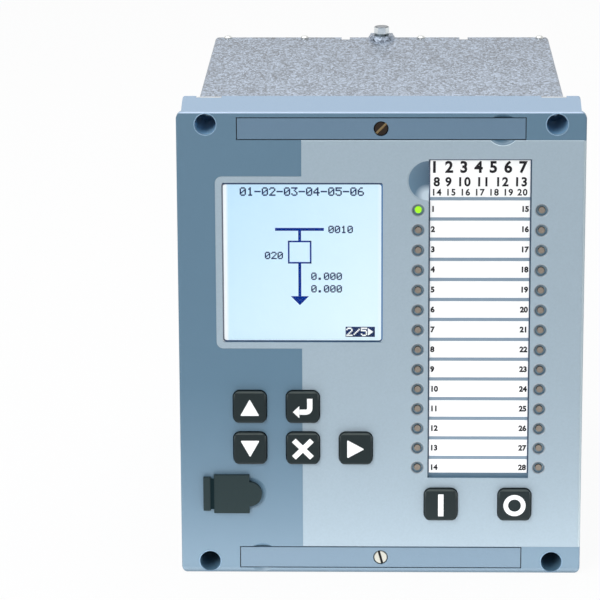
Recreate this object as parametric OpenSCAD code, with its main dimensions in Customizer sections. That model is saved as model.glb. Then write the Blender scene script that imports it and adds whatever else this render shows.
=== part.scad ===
// Panel-mounted monitoring relay: a moulded front bezel with display, keys and
// indicator columns on a folded steel case. X runs across the face, Y runs from
// the face to the rear, Z is up. The origin is the middle of the panel plane.

/* [Bezel] */
// Width of the face
bezel_w = 150; // [148:0.5:160]
// Height of the face, four rack units
bezel_h = 177; // [176.5:0.5:184]
// How far the face stands in front of the panel
bezel_depth = 31; // [29:0.5:40]
// Thickness of the face's proud rim
rim_t = 3.5; // [3.2:0.1:5]
// Thickness of the front wall
front_wall = 3; // [2.8:0.1:3.4]
// Thickness of the side walls at the rim
side_wall = 2.2; // [1.8:0.1:2.4]
// Radius of the face's four corners
face_corner_r = 2.6; // [1.5:0.1:4]
// Corner radius of the walls behind the rim
body_corner_r = 0.9; // [0.6:0.1:2]
// Rounding of the face's front edge
face_edge_r = 0.75; // [0.4:0.05:1.2]
// How far the rim stands out past the side walls
rim_lip = 1.8; // [1:0.1:2.2]
// How much each side wall spreads out towards the panel
side_draft = 1; // [0.4:0.1:1.4]
// How far the rim stands out past the top and bottom walls
rim_top_lip = 0.2; // [0.1:0.05:0.3]

/* [Panel fixings] */
// Distance of the fixing holes from the side edges of the face
fixing_inset_x = 10.75; // [10.25:0.25:12]
// Distance of the fixing holes from the top and bottom edges
fixing_inset_z = 4.5; // [4.4:0.05:4.75]
// Radius of the hole for the fixing screw
fixing_bore_r = 2.25; // [2:0.05:2.6]
// Radius of the deep recess for the screw's head
fixing_sink_r = 3.9; // [3.4:0.1:3.9]
// Radius of the tube round that recess
fixing_boss_r = 5.3; // [5:0.1:5.6]
// Plastic left under the screw's head
fixing_floor = 3; // [2:0.5:6]
// Width of the notch above each fixing
notch_w = 9.6; // [8:0.2:11]
// Depth of the notch from the panel plane
notch_d = 3; // [2.4:0.1:4]

/* [Face film] */
// Thickness of the printed film
film_t = 0.3; // [0.2:0.05:0.4]
// Left edge of the light film
film_left = -29.2; // [-29.8:0.1:-28.4]
// Bare margin between the film and the right edge
film_margin = 0.9; // [0.8:0.1:1.6]
// Width of the film's border round the display
film_border = 2.4; // [1.8:0.1:2.8]
// Corner radius of that border
film_corner_r = 2.5; // [1.2:0.1:3]

/* [Display] */
// Width of the display's window
display_w = 59.2; // [56:0.2:60]
// Height of the display's window
display_h = 60.6; // [58:0.2:61.4]
// Middle of the display across the face
display_x = -28.95; // [-29.6:0.05:-28]
// Middle of the display up the face
display_z = 31.85; // [31.4:0.05:33]
// How far the clear pane sits behind the face
pane_setback = 1.2; // [0.8:0.1:1.4]
// Width of the ledge that the clear pane seats on
pane_ledge = 1.5; // [1:0.1:2]
// Thickness of the display's glass panel
panel_t = 2.8; // [2:0.1:4]
// Width of the display's frame past its glass
display_rim = 2.6; // [2.2:0.1:2.8]

/* [Label] */
// Width of the label's recess
label_w = 37.7; // [34:0.1:38.4]
// Height of the face above the label
label_above = 17.5; // [16.5:0.1:22]
// Height of the face below the label
label_below = 37.5; // [36.5:0.1:42]
// Distance of the label's middle from the right edge of the face
label_inset = 38.65; // [38.2:0.05:39]
// Depth of the recess
label_recess = 1.6; // [1.2:0.1:1.8]
// Thickness of the card
card_t = 0.5; // [0.3:0.05:0.8]
// Height of the ledge under the card
card_ledge = 1.8; // [1:0.1:3]
// Radius of the thumb dish at the face
thumb_r = 8; // [6.5:0.1:8.2]
// Depth of the thumb dish
thumb_depth = 2; // [1.2:0.1:2.1]

/* [Indicators] */
// Indicators in a column
led_rows = 14; // [12:1:14]
// Spacing of the two columns
led_dx = 45.3; // [44.8:0.1:45.8]
// Distance of the top indicator from the label's top edge
led_above = 19.1; // [18.6:0.1:20]
// Distance of the bottom indicator from the label's bottom edge
led_below = 4.1; // [3.5:0.1:5]
// Radius of an indicator's lens
led_r = 1.15; // [1.1:0.05:1.5]
// Radius of the dish round the lens
led_dish_r = 2.6; // [2.3:0.05:2.7]
// Depth of that dish
led_dish_depth = 1.1; // [0.8:0.1:1.4]
// How far the lens ends behind the face
led_setback = 0.3; // [0.1:0.05:0.6]

/* [Keys] */
// Width and height of a key's cap
key_size = 12.3; // [11.6:0.1:13]
// Corner radius of a key's cap
key_corner_r = 2.5; // [1.6:0.1:2.8]
// Rounding of a key's front edge
key_edge_r = 0.9; // [0.4:0.1:1.2]
// How far a key stands in front of the face
key_proud = 1.8; // [1.4:0.1:2.4]
// Travel of a key
key_travel = 1; // [0.6:0.1:1.4]
// Gap between a cap and its opening
key_gap = 0.3; // [0.1:0.05:0.35]
// Width of the flange that holds a key behind the wall
key_flange = 1.2; // [0.8:0.1:1.3]
// Middle column of the pad across the face
pad_middle_x = -29.05; // [-30:0.05:-28.4]
// Spacing of the pad's columns
pad_pitch_x = 19.75; // [18:0.05:20.4]
// Distance of the pad's lower row from the bottom edge of the face
pad_below = 49.2; // [48.8:0.1:50]
// Spacing of the pad's rows
pad_pitch_z = 16.1; // [15.6:0.1:17]
// Spacing of the on key and the off key
switch_pitch = 27.6; // [22:0.1:28]
// Distance of those two keys from the bottom edge of the face
switch_below = 27.3; // [27:0.1:27.6]

/* [Cover strips] */
// Length of a cover strip
strip_w = 105.3; // [98:0.1:108]
// Height of a cover strip
strip_h = 7.75; // [7:0.05:7.8]
// Thickness of a cover strip
strip_t = 2; // [1.6:0.1:2.2]
// Distance of a strip's middle from the edge of the face
strip_inset = 6.1; // [5.9:0.05:6.5]
// Gap round a strip
strip_gap = 0.35; // [0.2:0.05:0.4]
// Radius of the strip screw's head
strip_screw_r = 2.6; // [2.2:0.1:2.9]
// Radius of the finger dish at a strip's end
finger_r = 5.7; // [4.8:0.1:5.8]
// Distance of the finger dish from the strip's end
finger_inset = 8.15; // [6.6:0.05:13]

/* [Port cover] */
// Distance of the cover's fixed strap from the left edge of the face
cover_inset = 8.5; // [8:0.1:9]
// Width of the strap
strap_w = 2.75; // [2.4:0.05:2.9]
// Height of the strap
strap_h = 13; // [11:0.2:14]
// Width of the hinge groove
hinge_groove = 1.2; // [1.1:0.05:1.4]
// Width of the flap
flap_w = 13.35; // [12.8:0.05:13.8]
// Height of the flap
flap_h = 14.9; // [14:0.1:15.4]
// Distance of the cover's middle from the bottom edge of the face
cover_below = 31.3; // [30.9:0.1:31.7]
// Thickness of the cover
cover_t = 1.5; // [1.3:0.1:1.6]
// Radius of the pull tab
tab_r = 4.7; // [4:0.1:5]
// Radius of the dish behind the pull tab
tab_dish_r = 6.2; // [5.6:0.1:6.4]
// Depth of that dish
tab_dish_depth = 1.2; // [0.8:0.1:1.4]
// Width of the port's opening
port_w = 10.6; // [10.2:0.1:10.8]
// Height of the port's opening
port_h = 10; // [9.4:0.1:10.6]

/* [Front board] */
// Gap between the board behind the face and the side walls
board_side_gap = 3; // [2.5:0.1:3.5]
// Gap between that board and the top and bottom walls
board_end_gap = 16.1; // [15.6:0.1:16.6]
// Thickness of every printed board
board_t = 1.6; // [1:0.1:2]
// Space between the front wall and the board
board_space = 8; // [7.4:0.1:9.6]

/* [Case] */
// How far the face stands out past each side of the case
case_step_x = 4.5; // [4.3:0.1:5]
// How far the face stands out past the top and bottom of the case
case_step_z = 8.5; // [8.5:0.1:9.5]
// Depth of the case behind the panel
case_d = 172; // [165:1:200]
// Thickness of the steel sheet
sheet_t = 1.2; // [0.9:0.1:1.5]
// Outer bend radius of the sheet
bend_r = 1.6; // [1.6:0.1:3]
// Width of the folded flanges
flange_w = 9; // [8:0.5:9.5]
// Depth of the top cover's folded sides
cover_side = 12; // [8:0.5:20]
// Thickness of the steel mounting plate
plate_t = 1.5; // [1.2:0.1:1.8]
// Radius of a cover screw's head
cover_screw_r = 1.7; // [1.5:0.1:2]
// Distance of the left cover screw from the side of the case
screw_left = 5.5; // [4:0.1:8]
// Distance of the right cover screw from the side of the case
screw_right = 3.9; // [3.7:0.1:6]
// Places of the two middle cover screws across the rear edge
screw_middle_x = [-32.6, 16.6];
// Places of the locating notches across the rear edge
rear_notch_x = [-15.2, 34.6];

/* [Earth bolt] */
// Width of the bolt's head across its flats
bolt_flats = 5.5; // [5.5:0.1:7]
// Height of the bolt's head
bolt_head = 3; // [2.4:0.1:3.6]
// Height of the pressed boss under the bolt
earth_boss_h = 1.9; // [1.4:0.1:2.4]
// Half width of that boss at its top
earth_boss_r = 4.5; // [4.5:0.1:5.6]
// Distance of the bolt from the rear edge
earth_inset = 5.4; // [5.2:0.1:6.4]

/* [Rear terminals] */
// Rows of the heavy current terminals
terminal_rows = 5; // [4:1:5]
// Spacing of those rows
terminal_pitch = 15; // [14:0.5:16]
// Width of the current terminal block
terminal_w = 36; // [34:0.5:38]
// Height of the middle of that block
terminal_z = 30; // [28:0.5:31]
// How far the terminal blocks stand behind the case
terminal_proud = 11; // [9:0.5:14]
// Ways in each pluggable terminal
plug_ways = 12; // [8:1:12]
// Spacing of those ways
plug_pitch = 5.08; // [5:0.01:5.1]
// Width of a pluggable terminal
plug_w = 12; // [11:0.5:13]
// Width of a network socket
jack_w = 16; // [15:0.1:16.5]
// Height of a network socket
jack_h = 13.6; // [13:0.1:14.4]

/* [Hidden] */
$fn = 48;
over = 0.1;
fit_gap = 0.15;
slip_gap = 0.05;

face_y = -bezel_depth;
wall_y = face_y + front_wall;
board_y = wall_y + board_space;
body_front_w = bezel_w - 2 * rim_lip;
body_rear_w = body_front_w + 2 * side_draft;
body_front_h = bezel_h - 2 * rim_top_lip;
cavity_w = body_front_w - 2 * side_wall;
cavity_h = body_front_h - 2 * side_wall;
cavity_corner_r = 1.5;
strip_z = bezel_h / 2 - strip_inset;
film_top = strip_z - strip_h / 2 - strip_gap - over;
film_right = bezel_w / 2 - film_margin;
fixing_dx = bezel_w - 2 * fixing_inset_x;
fixing_dz = bezel_h - 2 * fixing_inset_z;
notch_wall = 1.4;
fixing_slot_h = 8;
channel_y = face_y + strip_t;
strip_seat_t = 0.7;
strip_boss_r = 3;
strip_boss_len = 6;
finger_x = strip_w / 2 - finger_inset;
pane_y = face_y + pane_setback;
window_corner_r = 0.7;
pane_w = display_w + 2 * pane_ledge;
pane_h = display_h + 2 * pane_ledge;
pane_corner_r = 1;
display_frame_w = pane_w + 2 * display_rim - 2;
display_frame_h = pane_h + 2 * display_rim;
label_x = bezel_w / 2 - label_inset;
label_h = bezel_h - label_above - label_below;
label_z = (label_below - label_above) / 2;
card_w = label_w - 2 * fit_gap;
card_h = label_h - card_ledge - fit_gap;
card_z = label_z + (card_ledge - fit_gap) / 2;
label_floor_y = face_y + label_recess;
led_left_x = label_x - led_dx / 2;
led_right_x = label_x + led_dx / 2;
led_top_z = label_z + label_h / 2 - led_above;
led_pitch = (label_h - led_above - led_below) / (led_rows - 1);
led_rim_depth = 0.3;
led_well_r = led_dish_r - 0.5;

pad_x = [pad_middle_x - pad_pitch_x, pad_middle_x, pad_middle_x + pad_pitch_x];
pad_z = [-bezel_h / 2 + pad_below + pad_pitch_z, -bezel_h / 2 + pad_below];
switch_x = [label_x - switch_pitch / 2, label_x + switch_pitch / 2];
switch_z = -bezel_h / 2 + switch_below;
key_places = [
    [pad_x[0], pad_z[0]], [pad_x[0], pad_z[1]], [pad_x[1], pad_z[0]], [pad_x[1], pad_z[1]],
    [pad_x[2], pad_z[1]], [switch_x[0], switch_z], [switch_x[1], switch_z]
];
key_front_y = face_y - key_proud;
key_flange_t = 1;
key_flange_size = key_size + 2 * key_flange;
key_stem_r = 2;
switch_size = 6;
switch_body_t = 2.6;
switch_button_r = 1.7;
switch_top_y = board_y - switch_body_t - 0.6;
stem_end_y = switch_top_y - key_travel - fit_gap;

lens_bar_t = 1.5;
lens_bar_w = 5;
lens_bar_y = wall_y + 0.2;
chip_t = 1;
chip_size = 2.4;

board_w = cavity_w - 2 * board_side_gap;
board_h = cavity_h - 2 * board_end_gap;
board_post_r = 2.3;
board_post_bore_r = 0.9;
board_post_bore_d = 5;
board_hole_r = 1.2;
board_post_side = 3;
board_post_end = 4;
board_post_x = board_w / 2 - board_post_side;
board_post_z = board_h / 2 - board_post_end;
board_middle_z = display_z - display_frame_h / 2 - board_post_r - 2;
board_screw_r = 2;
board_screw_t = 1.4;

case_w = bezel_w - 2 * case_step_x;
case_h = bezel_h - 2 * case_step_z;
plate_post_r = 3.2;
plate_post_bore_r = 1.25;
plate_post_bore_d = 12;
plate_post_side = 12.5;
plate_post_end = 3.8;
plate_post_x = case_w / 2 - plate_post_side;
plate_post_z = case_h / 2 - sheet_t - plate_post_end;
plate_border_w = 28.5;
plate_border_h = 32;
lug_w = notch_w - 4 * fit_gap;
lug_top = bezel_h / 2 - 0.3;
lug_t = 0.8;
lug_foot_h = 4;
frame_screw_r = 2.6;
frame_screw_t = 1.8;
frame_screw_bite = 9;

cover_z = -bezel_h / 2 + cover_below;
strap_left = -bezel_w / 2 + cover_inset;
strap_right = strap_left + strap_w;
flap_left = strap_right + hinge_groove;
flap_right = flap_left + flap_w;
cover_back_y = face_y - slip_gap;
cover_front_y = cover_back_y - cover_t;
hinge_chamfer = 0.4;
port_inset = 2.3;
port_x = flap_left + port_inset + port_w / 2;
port_plug_gap = 0.4;
port_plug_wall = 1.2;
port_plug_d = 1;
socket_wall = 0.9;
socket_skirt = 0.8;
socket_y = wall_y + 0.2;
socket_mouth_w = 8.6;
socket_mouth_h = 7.8;
socket_mouth_d = 7;

inner_w = case_w - 2 * sheet_t - 2 * slip_gap;
cover_top_z = case_h / 2;
under_cover_z = cover_top_z - sheet_t;
rear_y = case_d;
rear_inner_y = rear_y - sheet_t;
screw_inset = 2.6;
screw_head_t = 1.1;
screw_shank_r = 1;
screw_len = 3;
cover_screw_x = [-case_w / 2 + screw_left, screw_middle_x[0], screw_middle_x[1], case_w / 2 - screw_right];
flange_len = 2 * plate_post_x + 8;
rear_notch_w = 3.5;
rear_notch_d = 5;
earth_boss_slope = 1.2;
earth_bolt_r = 1.5;
earth_washer_r = 3.1;
earth_washer_t = 0.9;
earth_y = rear_y - earth_inset;
earth_top_z = cover_top_z + earth_boss_h;
earth_nut_t = 3;
earth_nut_r = 3.15;
earth_split = 0.6;
bolt_r = bolt_flats / sqrt(3);
bolt_chamfer = 0.5;
bolt_shank_len = 6;

guide_w = 6;
guide_h = 4;
guide_y = 14;
guide_rear_gap = 20;
guide_len = case_d - guide_y - guide_rear_gap;
guide_groove = 2.2;
analog_inset = 29.5;
analog_x = -case_w / 2 + analog_inset;
output_x = -8;
input_x = 16;
processor_x = 46;
card_x = [analog_x, output_x, input_x, processor_x];
inner_top_z = under_cover_z - slip_gap;
inner_bottom_z = -case_h / 2 + sheet_t;
card_bottom_z = inner_bottom_z + guide_h - guide_groove + slip_gap;
card_top_z = inner_top_z - guide_h + guide_groove - slip_gap;
card_y = 12;
card_rear_gap = 16;
card_len = case_d - card_y - card_rear_gap;
bus_y = 6;
bus_w = 116;
bus_h = 70;
connector_w = 7;
connector_h = 50;
connector_grip = 3;
ribbon_z = -20;
ribbon_w = 30;
ribbon_t = 1;
ribbon_socket_w = 34;
ribbon_socket_h = 7;
ribbon_socket_t = 5;

part_gap = 2;
parts_top_z = inner_top_z - guide_h - part_gap;
parts_bottom_z = inner_bottom_z + guide_h + part_gap;
analog_side = analog_x + board_t / 2;
output_side = output_x + board_t / 2;
input_side = input_x + board_t / 2;
processor_side = processor_x - board_t / 2;
core_rows = 4;
core_w = 22;
core_len = 26;
core_h = 26;
core_hole_r = 5;
core_inset = 54;
core_y = rear_y - core_inset;
small_core_w = 18;
small_core_len = 18;
small_core_h = 20;
small_core_gap = 12;
small_core_y = core_y - small_core_gap - small_core_len;
relay_rows = 6;
relay_w = 16;
relay_len = 10;
relay_h = 20;
relay_inset = 40;
relay_pitch_y = 24;
relay_y = [rear_y - relay_inset - relay_pitch_y, rear_y - relay_inset];
coupler_rows = 10;
coupler_w = 3.5;
coupler_len = 7;
coupler_h = 8;
coupler_inset = 42;
coupler_y = rear_y - coupler_inset;
chip_w = 2;
chip_len = 26;
chip_inset = 48;
chip_drop = 43;
main_chip_y = card_y + chip_inset;
main_chip_z = parts_top_z - chip_drop;
memory_w = 1.4;
memory_len = 14;
memory_h = 10;
memory_gap = 12;
memory_y = main_chip_y + chip_len + memory_gap;
memory_dz = 14;
battery_r = 10;
battery_t = 3.6;
battery_inset = 24;
battery_drop = 33;
battery_y = card_y + battery_inset;
battery_z = parts_top_z - battery_drop;
winding_w = 24;
winding_len = 30;
winding_h = 30;
winding_limb = 5;
winding_inset = 2;
winding_start = 88;
winding_rise = 27;
winding_y = card_y + winding_start;
winding_z = parts_bottom_z + winding_rise;
capacitor_r = 7;
capacitor_len = 22;
capacitor_inset = 72;
capacitor_y = card_y + capacitor_inset;
capacitor_pitch = 18;
sink_base_t = 3;
sink_fin_len = 13;
sink_fin_t = 2;
sink_len = 24;
sink_h = 40;
sink_fins = 6;
sink_inset = 34;
sink_rise = 8;
sink_y = card_y + sink_inset;
sink_z = parts_bottom_z + sink_rise;

terminal_end_t = 1.5;
terminal_h = terminal_rows * terminal_pitch + 2 * terminal_end_t;
terminal_step = 2;
terminal_inside = 14;
terminal_pocket_d = 9;
terminal_spine = 4;
terminal_barrier = 2.6;
terminal_floor_y = rear_y + terminal_proud - terminal_pocket_d;
terminal_screw_x = (terminal_w + terminal_spine) / 4;
terminal_screw_r = 3.6;
terminal_screw_t = 2.4;
terminal_shank_r = 1.9;
terminal_plate_t = 2;
terminal_pocket_w = (terminal_w - terminal_spine) / 2;
terminal_pocket_h = terminal_pitch - terminal_barrier;
plug_row_z = 38;
plug_places = [
    [output_x, plug_row_z, plug_ways], [output_x, -plug_row_z, plug_ways],
    [input_x, plug_row_z, plug_ways], [input_x, -plug_row_z, plug_ways],
    [processor_x, 6, 4], [processor_x, -44, 6]
];
plug_margin = 2;
plug_step = 1;
plug_inside = 10;
plug_end_y = rear_y + terminal_proud;
entry_x = -2.4;
entry_w = 3.6;
entry_h = 3.4;
entry_d = 8;
clamp_x = 3.2;
clamp_bore_r = 1.6;
clamp_bore_d = 1.5;
clamp_r = 1.4;
clamp_t = 0.9;
clamp_slot_w = 0.5;
strip_slot_w = 0.9;
strip_slot_d = 1;
clamp_slot_d = 0.3;
socket_x = processor_x;
socket_drop = 24;
socket_pitch = 18;
socket_z = [case_h / 2 - socket_drop, case_h / 2 - socket_drop - socket_pitch];
jack_mouth_w = 11.8;
jack_mouth_h = 8.6;
jack_drop = 0.6;
jack_d = 15;
jack_back_t = 2;
jack_proud = 1;
rear_screw_side = 4.2;
rear_screw_end = 18;
rear_screw_x = inner_w / 2 - rear_screw_side;
rear_screw_z = [case_h / 2 - rear_screw_end, 0, -case_h / 2 + rear_screw_end];
rear_screw_r = 2.4;
rear_screw_t = 1.5;
rear_shank_r = 1.25;
rear_screw_len = 4;

// A rectangle with round corners, centred
module round_rect(w, h, r) {
    square([w - 2 * r, h], center = true);
    square([w, h - 2 * r], center = true);
    for (x = [-1, 1], y = [-1, 1])
        translate([x * (w / 2 - r), y * (h / 2 - r)])
            circle(r);
}

// A profile drawn across and up the face, made solid from y0 to y1
module slab(y0, y1) {
    translate([0, y1, 0])
        rotate([90, 0, 0])
            linear_extrude(y1 - y0)
                children();
}

// A round bar along Y from y0 to y1
module bar(x, z, y0, y1, r) {
    translate([x, y1, z])
        rotate([90, 0, 0])
            cylinder(h = y1 - y0, r = r);
}

// A cone along Y, front_r at y0 and rear_r at y1
module cone(x, z, y0, y1, front_r, rear_r) {
    translate([x, y1, z])
        rotate([90, 0, 0])
            cylinder(h = y1 - y0, r1 = rear_r, r2 = front_r);
}

// A block centred on x and z, from y0 to y1
module block(x, z, y0, y1, w, h) {
    translate([x - w / 2, y0, z - h / 2])
        cube([w, y1 - y0, h]);
}

// A length by depth outline whose two front corners are round
module round_front(len, depth, r) {
    translate([r, -len / 2])
        square([depth - r, len]);
    translate([0, -len / 2 + r])
        square([depth, len - 2 * r]);
    for (s = [-1, 1])
        translate([r, s * (len / 2 - r)])
            circle(r);
}

// A plate with round corners and a rounded front edge, its front at y = 0
module soft_plate(w, h, depth, corner, edge) {
    intersection() {
        slab(0, depth)
            round_rect(w, h, corner);
        translate([-w / 2 - 1, 0, 0])
            rotate([90, 0, 90])
                linear_extrude(w + 2)
                    round_front(h, depth, edge);
        translate([0, 0, -h / 2 - 1])
            linear_extrude(h + 2)
                rotate(90)
                    round_front(w, depth, edge);
    }
}

// A shallow ball-shaped dish in the face, of radius r at the face
module dish(x, z, r, depth) {
    ball_r = (r * r + depth * depth) / (2 * depth);
    translate([x, face_y + depth - ball_r, z])
        sphere(ball_r, $fn = 96);
}

// The four corners of a rectangle, as places for the children
module at_corners(dx, dz) {
    for (x = [-1, 1], z = [-1, 1])
        translate([x * dx / 2, 0, z * dz / 2])
            children();
}

// The six posts that carry the front board, as places for the children
module at_board_posts() {
    for (x = [-board_post_x, board_post_x], z = [-board_post_z, board_middle_z, board_post_z])
        translate([x, 0, z])
            children();
}

// A pan-head screw along Y whose head starts at y_head and points forward
module pan_screw(x, z, y_head, head_r, head_t, shank_r, shank_len) {
    translate([x, y_head, z])
        rotate([-90, 0, 0]) {
            difference() {
                union() {
                    cylinder(h = head_t * 0.6, r = head_r);
                    translate([0, 0, head_t * 0.6])
                        cylinder(h = head_t * 0.4, r1 = head_r, r2 = head_r * 0.7);
                }
                translate([0, 0, head_t])
                    cube([head_r * 1.2, head_r * 0.3, head_t * 0.9], center = true);
                translate([0, 0, head_t])
                    cube([head_r * 0.3, head_r * 1.2, head_t * 0.9], center = true);
            }
            translate([0, 0, -shank_len])
                cylinder(h = shank_len, r = shank_r);
        }
}

// The film's outline: the light field and the border round the display
module film_outline(grow) {
    translate([film_left - grow, -film_top - grow])
        square([film_right - film_left + 2 * grow, 2 * (film_top + grow)]);
    translate([display_x, display_z])
        round_rect(display_w + 2 * (film_border + grow), display_h + 2 * (film_border + grow),
                   film_corner_r);
}

// Centre of every indicator, from the top
function led_z(row) = led_top_z - row * led_pitch;

// Everything that is open through the film as well as the front wall
module face_openings() {
    slab(face_y - over, pane_y + over)
        translate([display_x, display_z])
            round_rect(display_w, display_h, window_corner_r);
    block(label_x, label_z, face_y - over, label_floor_y, label_w, label_h);
    dish(label_x - label_w / 2, label_z + label_h / 2 - thumb_r - over, thumb_r, thumb_depth);
    for (z = [-1, 1])
        dish(z * finger_x, z * strip_z, finger_r, strip_t - over);
    for (x = [led_left_x, led_right_x], row = [0 : led_rows - 1]) {
        cone(x, led_z(row), face_y, face_y + led_rim_depth, led_dish_r, led_well_r);
        bar(x, led_z(row), face_y + led_rim_depth - over, face_y + led_dish_depth, led_well_r);
    }
    for (place = key_places)
        translate([place[0], 0, place[1]])
            slab(face_y - over, wall_y + over)
                round_rect(key_size + 2 * key_gap, key_size + 2 * key_gap, key_corner_r + key_gap);
}

// The bezel's outside: the proud rim and the spreading box behind it
module bezel_outside() {
    translate([0, face_y, 0])
        soft_plate(bezel_w, bezel_h, rim_t, face_corner_r, face_edge_r);
    intersection() {
        slab(face_y + rim_t - over, 0)
            round_rect(body_rear_w, bezel_h, body_corner_r);
        translate([0, 0, -bezel_h])
            linear_extrude(2 * bezel_h)
                polygon([[-body_front_w / 2, face_y + rim_t - over],
                         [body_front_w / 2, face_y + rim_t - over],
                         [body_rear_w / 2, 0], [-body_rear_w / 2, 0]]);
        translate([-bezel_w, 0, 0])
            rotate([90, 0, 90])
                linear_extrude(2 * bezel_w)
                    polygon([[face_y + rim_t - over, -body_front_h / 2], [0, -bezel_h / 2],
                             [0, bezel_h / 2], [face_y + rim_t - over, body_front_h / 2]]);
    }
}

// Posts and tubes moulded inside the bezel
module bezel_posts() {
    intersection() {
        at_corners(fixing_dx, fixing_dz)
            bar(0, 0, wall_y - over, -plate_t, fixing_boss_r);
        slab(wall_y - over, 0)
            square([bezel_w, body_front_h], center = true);
    }
    at_board_posts()
        bar(0, 0, wall_y - over, board_y, board_post_r);
    at_corners(2 * plate_post_x, 2 * plate_post_z)
        bar(0, 0, wall_y - over, -plate_t, plate_post_r);
    for (z = [-strip_z, strip_z])
        bar(0, z, wall_y - over, wall_y + strip_boss_len, strip_boss_r);
}

// The moulded front: rim, walls, posts and every opening in the face
module front_bezel() {
    color([0.41, 0.53, 0.61])
    difference() {
        union() {
            difference() {
                bezel_outside();
                slab(wall_y, over)
                    round_rect(cavity_w, cavity_h, cavity_corner_r);
            }
            bezel_posts();
        }
        slab(face_y - over, face_y + film_t)
            film_outline(slip_gap);
        face_openings();
        slab(pane_y, wall_y + over)
            translate([display_x, display_z])
                round_rect(pane_w, pane_h, pane_corner_r);
        for (x = [led_left_x, led_right_x], row = [0 : led_rows - 1])
            bar(x, led_z(row), face_y, wall_y + over, led_r + fit_gap);
        for (z = [-1, 1]) {
            block(0, z * strip_z, face_y - over, channel_y, strip_w + 2 * strip_gap,
                  strip_h + 2 * strip_gap);
            bar(0, z * strip_z, channel_y - over, wall_y + strip_boss_len + over, strip_screw_r / 2 - over);
        }
        dish(flap_right + 0.2, cover_z, tab_dish_r, tab_dish_depth);
        block(port_x, cover_z, face_y - over, wall_y + over, port_w, port_h);
        at_corners(fixing_dx, fixing_dz) {
            bar(0, 0, face_y - over, -plate_t - fixing_floor, fixing_sink_r);
            bar(0, 0, -plate_t - fixing_floor - over, over, fixing_bore_r);
        }
        for (x = [-1, 1], z = [-1, 1]) {
            block(x * fixing_dx / 2, z * bezel_h / 2, -notch_d, over, notch_w, 2 * notch_wall);
            block(x * fixing_dx / 2, z * bezel_h / 2, -plate_t - slip_gap, over, notch_w, fixing_slot_h);
        }
        at_board_posts()
            bar(0, 0, board_y - board_post_bore_d, board_y + over, board_post_bore_r);
        at_corners(2 * plate_post_x, 2 * plate_post_z)
            bar(0, 0, -plate_t - plate_post_bore_d, over, plate_post_bore_r);
    }
}

// The light printed film bonded into the face
module face_film() {
    color([0.68, 0.75, 0.79])
    difference() {
        slab(face_y, face_y + film_t)
            film_outline(0);
        face_openings();
    }
}

// The clear pane in front of the display
module clear_pane() {
    color([0.9, 0.95, 1, 0.4])
    slab(pane_y, wall_y)
        translate([display_x, display_z])
            round_rect(pane_w - 2 * fit_gap, pane_h - 2 * fit_gap, pane_corner_r - fit_gap);
}

// The display's glass panel
module display_panel() {
    color([0.83, 0.93, 0.99])
    slab(wall_y, wall_y + panel_t)
        translate([display_x, display_z])
            round_rect(pane_w - 2 * fit_gap, pane_h - 2 * fit_gap, pane_corner_r);
}

// The tray that holds the glass panel and its lamp against the wall
module display_frame() {
    color([0.2, 0.22, 0.24])
    difference() {
        slab(wall_y, board_y)
            translate([display_x, display_z])
                round_rect(display_frame_w, display_frame_h, pane_corner_r + 0.5);
        slab(wall_y - over, wall_y + panel_t)
            translate([display_x, display_z])
                round_rect(pane_w, pane_h, pane_corner_r + fit_gap);
    }
}

// The card in the label recess
module label_card() {
    color([0.98, 0.98, 0.97])
    block(label_x, card_z, label_floor_y - card_t, label_floor_y, card_w, card_h);
}

// A cover strip, drilled for its one screw
module cover_strip(z) {
    difference() {
        block(0, z, face_y, channel_y, strip_w, strip_h);
        bar(0, z, face_y - over, channel_y - strip_seat_t, strip_screw_r + fit_gap);
        bar(0, z, face_y, channel_y + over, strip_screw_r / 2 + fit_gap);
    }
}

module top_strip() {
    color([0.44, 0.54, 0.62])
    cover_strip(strip_z);
}

module bottom_strip() {
    color([0.61, 0.69, 0.77])
    cover_strip(-strip_z);
}

// A slotted screw that sinks into a cover strip
module strip_screw(z, slot_turn) {
    difference() {
        union() {
            cone(0, z, face_y - over, face_y + 0.3, strip_screw_r - 0.35, strip_screw_r);
            bar(0, z, face_y + 0.3, channel_y - strip_seat_t, strip_screw_r);
            bar(0, z, channel_y - strip_seat_t, wall_y + strip_boss_len - 1, strip_screw_r / 2 - over);
        }
        translate([0, face_y, z])
            rotate([0, slot_turn, 0])
                cube([strip_slot_w, 2 * strip_slot_d, 2 * strip_screw_r + 1], center = true);
    }
}

module top_strip_screw() {
    color([0.35, 0.36, 0.37])
    strip_screw(strip_z, 45);
}

module bottom_strip_screw() {
    color([0.8, 0.79, 0.75])
    strip_screw(-strip_z, -15);
}

// A key: rounded cap, holding flange and the stem that presses its switch
module key(x, z) {
    cap_len = wall_y + slip_gap - key_front_y;
    translate([x, 0, z]) {
        translate([0, key_front_y, 0])
            soft_plate(key_size, key_size, cap_len, key_corner_r, key_edge_r);
        slab(wall_y + slip_gap, wall_y + slip_gap + key_flange_t)
            round_rect(key_flange_size, key_flange_size, key_corner_r);
        bar(0, 0, wall_y + slip_gap + key_flange_t, stem_end_y, key_stem_r);
    }
}

module up_key() {
    color([0.2, 0.24, 0.25])
    key(pad_x[0], pad_z[0]);
}

module down_key() {
    color([0.2, 0.24, 0.25])
    key(pad_x[0], pad_z[1]);
}

module enter_key() {
    color([0.2, 0.24, 0.25])
    key(pad_x[1], pad_z[0]);
}

module cancel_key() {
    color([0.2, 0.24, 0.25])
    key(pad_x[1], pad_z[1]);
}

module right_key() {
    color([0.2, 0.24, 0.25])
    key(pad_x[2], pad_z[1]);
}

module on_key() {
    color([0.2, 0.24, 0.25])
    key(switch_x[0], switch_z);
}

module off_key() {
    color([0.2, 0.24, 0.25])
    key(switch_x[1], switch_z);
}

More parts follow.
